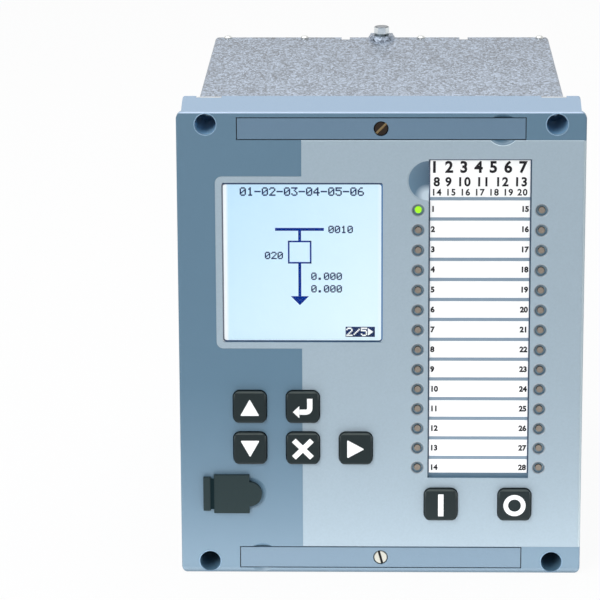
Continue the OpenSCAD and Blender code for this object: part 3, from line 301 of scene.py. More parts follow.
def closeGroup(group, given, made, share, height, distance):
    # the colour and the roughness are scaled by one share, and the normal is tilted by a height
    group.links.new(vectorCalc(group, "SCALE", given["Color"], "Scale", share), made["Color"])
    group.links.new(calc(group, "MULTIPLY", given["Roughness"], share), made["Roughness"])
    group.links.new(bumped(group, height, distance), made["Normal"])
    return group


def moulded():
    # fine grain of a moulded or printed surface, as a normal and as a slight shift of colour
    group, given, made = newGroup("moulded", ["Grain Scale", "Grain Depth", "Speckle", "Roughness"])
    grain = noise(group, given["Vector"], given["Grain Scale"])
    cloud = noise(group, given["Vector"], grainValues["cloudScale"], grainValues["cloudDetail"])
    share = 1.0
    for pattern, amount in ((grain, given["Speckle"]), (cloud, grainValues["cloud"])):
        share = calc(group, "MULTIPLY_ADD", calc(group, "SUBTRACT", pattern, 0.5), amount, share)
    return closeGroup(group, given, made, share, grain, given["Grain Depth"])


def machined():
    # fine drawn lines and a soft cloudiness of plain or plated metal
    group, given, made = newGroup("machined", ["Line Scale", "Line Depth", "Variation", "Roughness"])
    stretch = vectorCalc(group, "MULTIPLY", given["Vector"], 1, drawnValues["stretch"])
    lines = noise(group, stretch, given["Line Scale"], drawnValues["lineDetail"])
    cloud = noise(group, given["Vector"], drawnValues["cloudScale"])
    centred = calc(group, "SUBTRACT", calc(group, "ADD", lines, cloud), 1.0)
    share = calc(group, "MULTIPLY_ADD", centred, given["Variation"], 1.0)
    return closeGroup(group, given, made, share, lines, given["Line Depth"])


mouldedGroup = moulded()
machinedGroup = machined()


def finish(name, group, values, sockets):
    # a Principled material whose colour, roughness and normal come from one of the groups
    material = newMaterial(name)
    tree, shader = material.node_tree, shaderOf(material)
    setSockets(shader, sockets)
    effect = tree.nodes.new("ShaderNodeGroup")
    effect.node_tree = group
    tree.links.new(objectPlace(tree), effect.inputs["Vector"])
    setSockets(effect, values)
    for output, socket in (("Color", "Base Color"), ("Roughness", "Roughness"), ("Normal", "Normal")):
        tree.links.new(effect.outputs[output], shader.inputs[socket])
    return material


def plastic(name, color, roughness=0.4, speckle=0.05, depth=0.00002, scale=2500.0, **sockets):
    return finish(name, mouldedGroup, {"Color": color, "Roughness": roughness, "Speckle": speckle,
                                       "Grain Depth": depth, "Grain Scale": scale}, sockets)


def metal(name, color, roughness=0.3, variation=0.2, depth=0.00001, scale=900.0):
    return finish(name, machinedGroup, {"Color": color, "Roughness": roughness, "Variation": variation,
                                        "Line Depth": depth, "Line Scale": scale}, {"Metallic": 1.0})


def opened(material):
    # a finished material's tree, the colour that its shader is given, and the object's own X, Y and Z
    tree = material.node_tree
    return tree, shaderOf(material).inputs["Base Color"].links[0].from_socket, placeParts(tree)


def painted(material, color):
    # the material with another colour led to its shader
    material.node_tree.links.new(color, shaderOf(material).inputs["Base Color"])
    return material


# Galvanised sheet: crystals of zinc, each with its own grey, under a fine speckle and a soft cloud, darker
# towards the rear
galvanisedValues = {"light": tone(179, 192, 209), "dark": tone(40, 46, 55), "crystal": 1450.0, "along": 0.45,
                    "speckle": 3600.0, "speckleDetail": 4, "cloud": 110.0, "darkeningAlongY": -0.75, "level": -0.04,
                    "speckleShare": 0.36, "crystalShare": 0.72, "cloudShare": 0.2, "metallic": 0.75,
                    "smooth": 0.32, "rougher": 0.2, "depth": 0.00002}


def galvanised():
    # the share of light is a level that falls along Y plus an amount of each pattern, and it also sets the
    # roughness and the bumps
    values = galvanisedValues
    material = newMaterial("galvanised")
    tree, shader = material.node_tree, shaderOf(material)
    shader.inputs["Metallic"].default_value = values["metallic"]
    rolled = vectorCalc(tree, "MULTIPLY", objectPlace(tree), 1, (1, values["along"], 1))
    cells = tree.nodes.new("ShaderNodeTexVoronoi")
    cells.inputs["Scale"].default_value = values["crystal"]
    tree.links.new(rolled, cells.inputs["Vector"])
    grey = tree.nodes.new("ShaderNodeSeparateColor")
    tree.links.new(cells.outputs["Color"], grey.inputs["Color"])
    share = calc(tree, "MULTIPLY_ADD", placeParts(tree)["Y"], values["darkeningAlongY"], values["level"])
    for pattern, amount in ((noise(tree, rolled, values["speckle"], values["speckleDetail"]), "speckleShare"),
                            (grey.outputs["Red"], "crystalShare"),
                            (noise(tree, rolled, values["cloud"]), "cloudShare")):
        share = calc(tree, "MULTIPLY_ADD", pattern, values[amount], share)
    rough = calc(tree, "MULTIPLY_ADD", share, values["rougher"], values["smooth"])
    tree.links.new(rough, shader.inputs["Roughness"])
    tree.links.new(bumped(tree, share, values["depth"]), shader.inputs["Normal"])
    return painted(material, blendColor(tree, share, values["dark"], values["light"]))


# The label card's print in millimetres, and the indicators' dishes in metres: how far the painted shade on
# their rims, the painted light on their cones and the painted shade in the gap round each lens reach from the
# lens's middle
labelValues = {"layer": 0.03, "line": 1.25, "fillet": 0.45, "edge": 0.4, "edgeLayers": 1.5, "firstLine": 56.0,
               "pitch": 7.637, "rows": 14, "textSize": 2.85, "textWeight": 0.14, "inset": 0.75, "drop": 0.35,
               "curveSteps": 4}
dishValues = {"rim": 0.00242, "rimPaintedShade": tone(128, 136, 142), "cone": 0.00178,
              "conePaintedLight": tone(106, 129, 142), "gap": 0.00128, "gapPaintedShade": tone(50, 62, 70)}


def fromIndicator(tree, place):
    # how far a place is from the middle of the nearest indicator, and whether it lies in their rows
    low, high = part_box("right_lenses")
    radius, middleX = (high.x - low.x) / 2, (middleOf("left_lenses").x + middleOf("right_lenses").x) / 2
    pitch = (high.z - low.z - 2 * radius) / (labelValues["rows"] - 1)
    across = calc(tree, "SUBTRACT", calc(tree, "ABSOLUTE", calc(tree, "SUBTRACT", place["X"], middleX)),
                  middleOf("right_lenses").x - middleX)
    steps = calc(tree, "DIVIDE", calc(tree, "SUBTRACT", place["Z"], low.z + radius - pitch / 2), pitch)
    upward = calc(tree, "MULTIPLY", calc(tree, "SUBTRACT", calc(tree, "FRACT", steps), 0.5), pitch)
    halfRows = labelValues["rows"] / 2
    return farFrom(tree, across, upward), calc(tree, "COMPARE", steps, halfRows, halfRows)


# The moulded bezel: matt in the deep fixings, with painted light in them, paler in the upper ones; painted
# light towards its foot, on its crown and on its lower hem; painted highlights along its upper lip and its
# right rim; painted shade round the strips;
# and painted shade with a painted highlight in the thumb dish
faceValues = {"bezel": tone(75, 111, 134), "film": tone(150, 168, 180), "gloss": 0.8,
              "pale": tone(101, 129, 149), "footZ": (-0.015, -0.082),
              "crown": tone(126, 156, 184), "crownZ": 0.0878,
              "lip": tone(178, 199, 224), "lipZ": 0.0881, "lipFront": -0.0302,
              "hem": tone(138, 162, 180), "hemZ": (-0.0862, -0.0879),
              "edge": tone(170, 186, 193), "edgeX": 0.0741, "edgeZ": 0.078, "edgeBack": -0.0275,
              "wellX": 0.06425, "wellZ": 0.084, "wellRadius": 0.0042, "wellRough": 0.8,
              "wellPaintedLight": (tone(84, 122, 146), tone(142, 186, 216)),
              "dishRadius": 0.0081, "dishPaintedShade": (tone(88, 122, 145), tone(48, 82, 106)),
              "dishPaintedGlint": tone(184, 201, 213), "paintedGlintAt": (-0.0008, -0.0056), "paintedGlintReach": (0.0046, 0.0042),
              "paintedGlintCore": 0.35,
              "slot": tone(22, 38, 52), "slotGap": 0.00042, "slotFront": -0.0306,
              "brink": tone(196, 213, 222), "brinkWidth": 0.00024,
              "fingerX": 0.0445, "fingerPaintedShade": tone(104, 132, 152), "fingerRadius": (0.00618, 0.00646)}


def thumbDish(tree, place):
    # where the thumb dish is, and its colour: painted shade, darker to the right, with an oval painted
    # highlight
    low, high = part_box("label_card")
    reach = faceValues["dishRadius"]
    across = calc(tree, "SUBTRACT", place["X"], low.x)
    upward = calc(tree, "SUBTRACT", place["Z"], high.z - reach)
    spot = [calc(tree, "DIVIDE", calc(tree, "SUBTRACT", offset, middle), size) for offset, middle, size in
            zip((across, upward), faceValues["paintedGlintAt"], faceValues["paintedGlintReach"])]
    sides = blendColor(tree, ramp(tree, across, -reach, 0.0), *faceValues["dishPaintedShade"])
    light = ramp(tree, farFrom(tree, *spot), 1.0, faceValues["paintedGlintCore"])
    return (calc(tree, "LESS_THAN", farFrom(tree, across, upward), reach),
            blendColor(tree, light, sides, faceValues["dishPaintedGlint"]))


def bezelFinish():
    values = faceValues
    material = plastic("bezelPlastic", values["bezel"], roughness=0.42, speckle=0.06,
                       Specular_IOR_Level=values["gloss"])
    tree, color, place = opened(material)
    x, y, z = place
    aside, aloft = calc(tree, "ABSOLUTE", x), calc(tree, "ABSOLUTE", z)
    outer = calc(tree, "LESS_THAN", y, values["lipFront"])
    behind = calc(tree, "SUBTRACT", 1.0, outer)
    well = farFrom(tree, calc(tree, "SUBTRACT", aside, values["wellX"]),
                   calc(tree, "SUBTRACT", aloft, values["wellZ"]))
    inside = allOf(tree, calc(tree, "LESS_THAN", well, values["wellRadius"]), behind)
    rough = shaderOf(material).inputs["Roughness"]
    matt = calc(tree, "MULTIPLY", inside, values["wellRough"])
    tree.links.new(calc(tree, "MAXIMUM", matt, rough.links[0].from_socket), rough)
    distance, rows = fromIndicator(tree, place)
    cone, gap = [allOf(tree, calc(tree, "LESS_THAN", distance, dishValues[part]), rows)
                 for part in ("cone", "gap")]
    edge = allOf(tree, calc(tree, "GREATER_THAN", x, values["edgeX"]),
                 calc(tree, "LESS_THAN", y, values["edgeBack"]),
                 calc(tree, "LESS_THAN", aloft, values["edgeZ"]))
    low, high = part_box("top_strip")
    strip = calc(tree, "COMPARE", aloft, (low.z + high.z) / 2, (high.z - low.z) / 2 + values["slotGap"])
    slot = allOf(tree, strip, calc(tree, "LESS_THAN", aside, high.x + values["slotGap"]),
                 calc(tree, "GREATER_THAN", y, values["slotFront"]))
    layers = [
        # painted light: paler towards the foot, outside the fixing holes
        (allOf(tree, ramp(tree, z, *values["footZ"]), calc(tree, "SUBTRACT", 1.0, inside)), values["pale"]),
        # painted light on the indicators' cones, and painted shade in the gap round each lens
        (cone, dishValues["conePaintedLight"]), (gap, dishValues["gapPaintedShade"]),
        # painted light in the fixing holes, paler in the upper holes than in the lower
        (inside, blendColor(tree, calc(tree, "GREATER_THAN", z, 0.0), *values["wellPaintedLight"])),
        # painted light on the rounded lower hem
        (allOf(tree, ramp(tree, z, *values["hemZ"]), outer), values["hem"]),
        # the film's light colour carried round the right rim, lightened further as a painted highlight
        (edge, values["edge"]),
        # painted light on the crown, the bezel's upper face
        (allOf(tree, calc(tree, "GREATER_THAN", z, values["crownZ"]), behind), values["crown"]),
        # painted highlight along the rounded upper lip of the face
        (allOf(tree, calc(tree, "GREATER_THAN", z, values["lipZ"]), outer), values["lip"]),
        # painted shade in the gaps round the strips, then the thumb dish's painted shade and painted
        # highlight
        (slot, values["slot"]), thumbDish(tree, place),
    ]
    for share, other in layers:
        color = blendColor(tree, share, color, other)
    return painted(material, color)


def filmFinish():
    # the printed film, with painted shade on the sloping rim of each indicator's dish, a painted highlight
    # along its upper brink and round the finger dish of the top strip, and that dish's rolled-in edge painted
    # on as painted shade
    values = faceValues
    material = plastic("lightFilm", values["film"], roughness=0.45, speckle=0.14, scale=1500.0,
                       Specular_IOR_Level=values["gloss"])
    tree, color, place = opened(material)
    distance, rows = fromIndicator(tree, place)
    rim = allOf(tree, calc(tree, "LESS_THAN", distance, dishValues["rim"]), rows)
    finger = farFrom(tree, calc(tree, "SUBTRACT", place["X"], values["fingerX"]),
                     calc(tree, "SUBTRACT", place["Z"], middleOf("top_strip").z))
    rolled, outline = [calc(tree, "LESS_THAN", finger, radius) for radius in values["fingerRadius"]]
    brink = calc(tree, "GREATER_THAN", place["Z"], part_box("face_film")[1].z - values["brinkWidth"])
    brink = calc(tree, "MAXIMUM", outline, brink)
    for share, other in ((rim, dishValues["rimPaintedShade"]), (brink, values["brink"]),
                         (rolled, values["fingerPaintedShade"])):
        color = blendColor(tree, share, color, other)
    return painted(material, color)


# Lit display: a pale blue glow, deeper at the upper left and nearly white along its left and right edges
displayValues = {"left": tone(190, 226, 252), "right": tone(224, 246, 254), "edge": tone(246, 252, 255),
                 "leftEdge": (-0.0563, -0.0572), "rightEdge": (-0.0015, 0.0004), "rightShare": 0.6,
                 "down": 0.5, "across": 0.6, "glow": 0.92, "roughness": 0.5, "dim": 0.1}


def displayGlow():
    # the share of the right tone grows with the distance across and down, then each side edge is blended in
    values = displayValues
    material = newMaterial("displayGlow")
    tree, shader = material.node_tree, shaderOf(material)
    setSockets(shader, {"Roughness": values["roughness"], "Emission Strength": values["glow"]})
    low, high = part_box("display_panel")
    place = placeParts(tree)
    across = calc(tree, "DIVIDE", calc(tree, "SUBTRACT", place["X"], low.x), high.x - low.x)
    down = calc(tree, "DIVIDE", calc(tree, "SUBTRACT", high.z, place["Z"]), high.z - low.z)
    share = calc(tree, "MULTIPLY_ADD", across, values["across"], calc(tree, "MULTIPLY", down, values["down"]))
    margin = calc(tree, "MULTIPLY", ramp(tree, place["X"], *values["rightEdge"]), values["rightShare"])
    margin = calc(tree, "ADD", margin, ramp(tree, place["X"], *values["leftEdge"]))
    color = blendColor(tree, calc(tree, "MINIMUM", share, 1.0), values["left"], values["right"])
    color = blendColor(tree, margin, color, values["edge"])
    tree.links.new(color, shader.inputs["Emission Color"])
    return painted(material, vectorCalc(tree, "SCALE", color, "Scale", values["dim"]))


# The pane's clear plastic, and the one lit lens
clearValues = {"Base Color": (0.97, 0.99, 1.0, 1), "Roughness": 0.02, "IOR": 1.15, "Transmission Weight": 1.0}
lensValues = {"body": tone(90, 170, 10),
              "glow": {"Emission Color": tone(170, 244, 4), "Emission Strength": 0.76}}


def clearPlastic():
    material = newMaterial("clearPlastic")
    setSockets(shaderOf(material), clearValues)
    return material


def litLens():
    material = plastic("litLens", lensValues["body"], roughness=0.25, speckle=0.1)
    setSockets(shaderOf(material), lensValues["glow"])
    return material


# The earth bolt: bright zinc, with painted shade on top of its head, over a washer painted darker as the
# shade under the head
boltValues = {"zinc": tone(226, 232, 234), "top": tone(122, 126, 130), "topDepth": 0.00045,
              "washer": tone(112, 122, 126), "roughness": 0.36}


def boltFinish():
    # the painted shade's tone above a height just below the head's top
    material = metal("zincSteel", boltValues["zinc"], roughness=boltValues["roughness"], variation=0.12)
    tree, plain, place = opened(material)
    top = calc(tree, "GREATER_THAN", place["Z"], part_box("earth_bolt")[1].z - boltValues["topDepth"])
    return painted(material, blendColor(tree, top, plain, boltValues["top"]))


# The strips' screws: a tone for the head, one for what is set back from its front, and how far back that is;
# the set-back tone is a painted highlight of glints in the top screw's slot and painted shade in the bottom
# screw's
screwValues = {"top_strip_screw": (tone(52, 45, 40), tone(150, 132, 100)),
               "bottom_strip_screw": (tone(168, 168, 160), tone(38, 38, 38)), "slotBack": 0.00045}


def slottedSteel(name, node):
    # the slot's painted tone at every place further back than the screw's front plus its slot depth
    head, slot = screwValues[node]
    material = metal(name, head, roughness=0.42)
    tree, plain, place = opened(material)
    deep = calc(tree, "GREATER_THAN", place["Y"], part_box(node)[0].y + screwValues["slotBack"])
    return painted(material, blendColor(tree, deep, plain, slot))


# The keys, with a painted highlight on the upper part of their rounded front edges
keyValues = {"body": tone(26, 37, 39), "light": tone(66, 74, 73), "edge": (0.00004, 0.0008),
             "rise": (0.0025, 0.0055), "margin": 0.0005}
keyNames = ["up_key", "down_key", "enter_key", "cancel_key", "right_key", "on_key", "off_key"]


def keyFinish():
    # a painted highlight where the depth behind the front is within the edge, the more the higher above the
    # key's middle
    material = plastic("keyPlastic", keyValues["body"], roughness=0.36, speckle=0.12, Specular_IOR_Level=0.2)
    tree, plain, place = opened(material)
    low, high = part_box(keyNames[0])
    reach = (high.z - low.z) / 2 + keyValues["margin"]
    middle = 0.0
    for height in sorted({round(middleOf(key).z, 5) for key in keyNames}):
        middle = calc(tree, "MULTIPLY_ADD", calc(tree, "COMPARE", place["Z"], height, reach), height, middle)
    depth = calc(tree, "SUBTRACT", place["Y"], low.y)
    start, end = keyValues["edge"]
    share = allOf(tree, calc(tree, "GREATER_THAN", depth, start), calc(tree, "LESS_THAN", depth, end),
                  ramp(tree, calc(tree, "SUBTRACT", place["Z"], middle), *keyValues["rise"]))
    return painted(material, blendColor(tree, share, plain, keyValues["light"]))


# Socket shells, dark inside: mouths in millimetres, from the rim of each inwards along Y
socketValues = {"sink": 0.35, "spare": 0.05, "steel": tone(205, 206, 203), "inside": tone(34, 36, 38),
                "port": {"node": "port_socket", "mouth": (8.6, 7.8), "middles": (0.0,), "inward": 1},
                "network": {"node": "network_sockets", "mouth": (11.6, 8.3), "middles": (8.35, -9.65),
                            "inward": -1}}


def mouthOf(name):
    # a socket's middle across, the heights of its mouths' middles, and where its rim is
    values = socketValues[name]
    low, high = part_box(values["node"])
    middle = (low + high) / 2
    rim = low.y if values["inward"] > 0 else high.y
    return middle.x, [middle.z + rise * millimetre for rise in values["middles"]], rim


def socketSteel(name):
    # plain metal outside, and a dark plastic colour in each mouth behind its rim
    material = metal(name + "Shell", socketValues["steel"], roughness=0.3)
    tree, plain, place = opened(material)
    middleX, heights, rim = mouthOf(name)
    halfX, halfZ = [(size / 2 + socketValues["spare"]) * millimetre for size in socketValues[name]["mouth"]]
    level = 0.0
    for height in heights:
        level = calc(tree, "ADD", calc(tree, "COMPARE", place["Z"], height, halfZ), level)
    depth = calc(tree, "MULTIPLY", calc(tree, "SUBTRACT", place["Y"], rim), socketValues[name]["inward"])
    inside = allOf(tree, calc(tree, "COMPARE", place["X"], middleX, halfX), level,
                   calc(tree, "GREATER_THAN", depth, socketValues["sink"] * millimetre))
    tree.links.new(calc(tree, "SUBTRACT", 1.0, inside), shaderOf(material).inputs["Metallic"])
    return painted(material, blendColor(tree, inside, plain, socketValues["inside"]))


def satin(name, color):
    return plastic(name, color, roughness=0.42, speckle=0.06, Specular_IOR_Level=faceValues["gloss"])


# Each finish, with the nodes that wear it
dressing = [
    (bezelFinish(), "front_bezel"),
    (filmFinish(), "face_film"),
    # the bottom strip wears a paler copy of the strip plastic, painted light as the face brightens towards
    # its foot
    (satin("stripPlastic", tone(84, 115, 139)), "top_strip"),
    (satin("paintedLightStripPlastic", tone(100, 126, 146)), "bottom_strip"),
    (displayGlow(), "display_panel"),
    (clearPlastic(), "clear_pane"),
    (plastic("darkPlastic", tone(40, 43, 46), roughness=0.5),
     "display_frame key_switches input_couplers processor_chips"),
    (plastic("whiteCard", tone(252, 252, 251), roughness=0.55, speckle=0.02, depth=0.000005), "label_card"),
    (slottedSteel("darkSteel", "top_strip_screw"), "top_strip_screw"),
    (slottedSteel("slotSteel", "bottom_strip_screw"), "bottom_strip_screw"),
    (metal("brightSteel", tone(205, 206, 203), roughness=0.3),
     "board_screws mounting_plate frame_screws cover_screws rear_screws earth_nut"
     " backup_battery terminal_screws plug_screws"),
    (boltFinish(), "earth_bolt"),
    # the washer's darker tone is painted shade under the bolt's head
    (metal("washerSteel", boltValues["washer"], roughness=boltValues["roughness"]), "earth_washer"),
    (socketSteel("port"), "port_socket"),
    (socketSteel("network"), "network_sockets"),
    (keyFinish(), " ".join(keyNames)),
    (plastic("boardLaminate", tone(24, 92, 52), roughness=0.35),
     "front_board bus_board analog_board output_board input_board processor_board"),
    (litLens(), "healthy_lens"),
    (plastic("smokyLens", tone(130, 120, 109), roughness=0.18, speckle=0.1), "left_lenses right_lenses"),
    (plastic("palePlastic", tone(222, 220, 206), roughness=0.5),
     "indicator_chips card_guides bus_connectors"),
    (plastic("coverRubber", tone(32, 47, 49), roughness=0.6, speckle=0.15, scale=1800.0,
             Specular_IOR_Level=0.2), "cover_strap cover_flap"),
    (galvanised(), "case_wrap top_cover rear_panel"),
    (plastic("greyVinyl", tone(165, 168, 172), roughness=0.5), "ribbon_cable"),
    (metal("ironCore", tone(72, 74, 80), roughness=0.55, variation=0.35),
     "current_transformers voltage_transformers power_transformer"),
    (plastic("orangePlastic", tone(206, 118, 38)), "output_relays"),
    (plastic("capacitorCan", tone(34, 40, 70), roughness=0.3), "power_capacitors"),
    (metal("plainAluminium", tone(198, 200, 203), roughness=0.38), "heat_sink"),
    (plastic("terminalPlastic", tone(38, 40, 43), roughness=0.45, speckle=0.12), "current_terminals"),
    (plastic("greenPlastic", tone(32, 92, 58), roughness=0.42, speckle=0.1), "plug_terminals"),
    (metal("brass", tone(206, 178, 104), roughness=0.32), "terminal_plates"),
]
finishes, dressed = {}, 0
for material, nodeNames in dressing:
    finishes[material.name] = material
    for nodeName in nodeNames.split():
        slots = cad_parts[nodeName].data.materials
        slots.clear()
        slots.append(material)
        dressed += 1
print("finishes on", dressed, "of", len(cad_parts), "nodes")


# Ways to make a piece
def outwardFacing(piece):
    # turns every face of a closed piece outwards
    shape = bmesh.new()
    shape.from_mesh(piece.data)
    bmesh.ops.remove_doubles(shape, verts=shape.verts, dist=1e-7)
    bmesh.ops.recalc_face_normals(shape, faces=shape.faces)
    shape.to_mesh(piece.data)
    shape.free()
    piece.data.update()


def addPiece(name, parts, material, body=mainBody, smooth=False, closed=True):
    # several (points, faces) made one mesh, in metres in the shared frame
    points, faces, start = [], [], 0
    for partPoints, partFaces in parts:
        points += np.asarray(partPoints, float).tolist()
        faces += [[int(corner) + start for corner in face] for face in partFaces]
        start += len(partPoints)
    mesh = bpy.data.meshes.new(name)
    mesh.from_pydata(points, [], faces)
    mesh.materials.append(material)
    if smooth:
        mesh.polygons.foreach_set("use_smooth", np.ones(len(mesh.polygons), bool))
    mesh.update()
    piece = bpy.data.objects.new(name, mesh)
    bpy.context.scene.collection.objects.link(piece)
    if body is not None:
        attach(piece, body)
    if closed:
        outwardFacing(piece)
    return piece


def prism(outline, start, end, axis="y"):
    # an outline made solid between two places on an axis: two flat ends and a ring of sides
    flat = np.asarray(outline, float)
    count = len(flat)
    order = {"x": (2, 0, 1), "y": (0, 2, 1), "z": (0, 1, 2)}[axis]
    ends = [np.column_stack([flat, np.full(count, place)])[:, order] for place in (start, end)]
    near = np.arange(count)
    onward = np.roll(near, -1)
    sides = np.column_stack([near, near + count, onward + count, onward])
    return np.vstack(ends), [near.tolist(), (near[::-1] + count).tolist(), *sides.tolist()]


def loopedRings(rings):
    # rings of as many points each, every one joined to the next in quads, and the last to the first
    count, rows = len(rings[0]), len(rings)
    near = np.arange(count)
    onward = np.roll(near, -1)
    faces = [np.column_stack([near + row * count, onward + row * count, onward + (row + 1) % rows * count,
                              near + (row + 1) % rows * count]) for row in range(rows)]
    return np.vstack(rings), np.vstack(faces).tolist()


def ringParts(middleX, middleZ, profile, steps=48):
    # a closed profile of radii and depths, turned round a line along Y
    angles = np.linspace(0, 2 * math.pi, steps, endpoint=False)
    return loopedRings([np.column_stack([middleX + radius * np.cos(angles), np.full(steps, place),
                                         middleZ + radius * np.sin(angles)]) for radius, place in profile])


def stroke(line, width, sharpest=0.3):
    # a band of even width along a line of points: each point moved to both sides along its normal
    line = np.asarray(line, float)
    steps = np.diff(line, axis=0)
    steps /= np.linalg.norm(steps, axis=1)[:, None]
    ways = np.vstack([steps[:1], steps[:-1] + steps[1:], steps[-1:]])
    ways /= np.linalg.norm(ways, axis=1)[:, None]
    normals = np.column_stack([-ways[:, 1], ways[:, 0]])
    along = np.vstack([steps, steps[-1:]])
    spread = width / 2 / np.maximum(np.abs((ways * along).sum(axis=1)), sharpest)
    return np.vstack([line + normals * spread[:, None], (line - normals * spread[:, None])[::-1]])


def arc(centre, radius, start, end, count=12):
    # points on a circle from one angle to another, in degrees
    angles = np.radians(np.linspace(start, end, count))
    return np.column_stack([centre[0] + radius * np.cos(angles), centre[1] + radius * np.sin(angles)])


def rectangle(left, bottom, right, top):
    return np.array([(left, bottom), (right, bottom), (right, top), (left, top)])


def roundOutline(low, high, radius, count=6):
    # a rectangle whose corners are quarter circles
    left, bottom, right, top = low[0] + radius, low[1] + radius, high[0] - radius, high[1] - radius
    corners = [((right, top), 0), ((left, top), 90), ((left, bottom), 180), ((right, bottom), 270)]
    return np.vstack([arc(centre, radius, start, start + 90, count) for centre, start in corners])


def softened(corners, reach, count=5):
    # each corner replaced by a curve that starts and ends the same reach away from it on its two sides
    corners = np.asarray(corners, float)
    ends = []
    for shift in (1, -1):
        way = np.roll(corners, shift, axis=0) - corners
        ends.append((corners + way / np.linalg.norm(way, axis=1)[:, None] * reach)[:, None])
    share = np.linspace(0, 1, count)[None, :, None]
    curve = (1 - share) ** 2 * ends[0] + 2 * share * (1 - share) * corners[:, None] + share ** 2 * ends[1]
    return curve.reshape(-1, 2)


def turned(outline, degrees):
    # an outline turned about its middle
    angle = math.radians(degrees)
    return outline @ np.array([(math.cos(angle), math.sin(angle)), (-math.sin(angle), math.cos(angle))])


# Legends printed on the keys, in millimetres from each key's middle
legendValues = {"proud": 0.05, "sunk": 0.05, "triangleW": 7.1, "triangleH": 6.4, "corner": 0.55,
                "crossSpan": 5.9, "crossEnd": 0.6, "crossStroke": 2.0, "barW": 2.0, "barH": 8.6,
                "ringOuter": 4.15, "ringInner": 2.4, "arrowStroke": 2.0, "arrowTop": (2.63, 3.5),
                "arrowTail": (-1.4, -1.7), "bendMiddle": (1.13, -0.2), "bendRadius": 1.5,
                "arrowHead": ((-1.25, 0.65), (-3.7, -1.7), (-1.25, -4.05))}
legendInk = plastic("legendInk", tone(246, 248, 248), roughness=0.4, speckle=0.02, depth=0.000005)


def triangle(turn):
    # an upright triangle turned about its middle
    w, h = legendValues["triangleW"] / 2, legendValues["triangleH"] / 2
    return [turned(softened([(-w, -h), (w, -h), (0, h)], legendValues["corner"]), turn)]


def cross():
    # two bars of one width, crossed at right angles in one outline of twelve corners
    half = legendValues["crossSpan"] / math.sqrt(2) + legendValues["crossEnd"]
    s = legendValues["crossStroke"] / 2
    corners = [(s, s), (s, half), (-s, half), (-s, s), (-half, s), (-half, -s), (-s, -s), (-s, -half),
               (s, -half), (s, -s), (half, -s), (half, s)]
    return [turned(np.array(corners), 45)]


def enterArrow():
    # a stroke down and round to the left, and its arrow head
    bend = arc(legendValues["bendMiddle"], legendValues["bendRadius"], 0, -90, 10)
    line = np.vstack([[legendValues["arrowTop"]], bend, [legendValues["arrowTail"]]])
    return [stroke(line, legendValues["arrowStroke"]), np.array(legendValues["arrowHead"])]


def bar():
    w, h = legendValues["barW"] / 2, legendValues["barH"] / 2
    return [rectangle(-w, -h, w, h)]


def addLegends():
    # each sign a thin solid sunk into its key; the off key's is a ring
    shapes = {"up_key": triangle(0), "down_key": triangle(180), "right_key": triangle(-90),
              "cancel_key": cross(), "enter_key": enterArrow(), "on_key": bar(), "off_key": None}
    for key, outlines in shapes.items():
        middle = middleOf(key)
        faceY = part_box(key)[0].y
        front, back = faceY - legendValues["proud"] * millimetre, faceY + legendValues["sunk"] * millimetre
        if outlines is None:
            outer, inner = legendValues["ringOuter"] * millimetre, legendValues["ringInner"] * millimetre
            profile = [(outer, back), (outer, front), (inner, front), (inner, back)]
            parts = [ringParts(middle.x, middle.z, profile)]
        else:
            parts = [prism(outline * millimetre + (middle.x, middle.z), front, back) for outline in outlines]
        addPiece(key + "_legend", parts, legendInk, key)


addLegends()
print("key legends made")


# What the display shows, in millimetres from the middle of its window: a bus bar, a breaker box, a stem with
# an arrow, plain numbers, and a page number in a dark box
screenValues = {
    "middle": (-28.95, 31.85), "sink": 0.5, "layer": 0.06, "axis": -1.05,
    "bus": (-10.1, 12.1, 7.9, 13.2), "line": 1.08, "boxLine": 0.6, "boxHalf": 4.35, "boxTop": 8.35,
    "arrowTop": -12.8, "arrowHalf": 3.35, "arrowH": 3.45, "dot": 0.452, "smallDot": 0.39, "swell": 0.05,
    "page": (15.85, -28.4, 26.75, -24.5), "pageArrow": (24.15, -27.9, 26.2, -25.0), "columns": 5,
}
screenTexts = {
    "header": ("01-02-03-04-05-06", (-23.0, 28.5), "dot"), "bus": ("0010", (9.6, 14.0), "smallDot"),
    "box": ("020", (-13.9, 4.1), "smallDot"), "upper": ("0.000", (3.2, -3.8), "smallDot"),
    "lower": ("0.000", (3.2, -8.6), "smallDot"),
}
pageText = ("2/5", (16.15, -24.85), "dot")
screenInk, screenLetter = [
    plastic(name, color, roughness=0.5, depth=0.000002, Specular_IOR_Level=0.05)
    for name, color in (("screenInk", tone(0, 44, 136)), ("screenLetter", tone(38, 56, 100)))]
digitRows = {
    "0": (14, 17, 19, 21, 25, 17, 14), "1": (4, 12, 4, 4, 4, 4, 14), "2": (14, 17, 1, 2, 4, 8, 31),
    "3": (31, 2, 4, 2, 1, 17, 14), "4": (2, 6, 10, 18, 31, 2, 2), "5": (31, 16, 30, 1, 1, 17, 14),
    "6": (6, 8, 16, 30, 17, 17, 14), "-": (0, 0, 0, 31, 0, 0, 0), ".": (0, 0, 0, 0, 0, 12, 12),
    "/": (0, 1, 2, 4, 8, 16, 0),
}


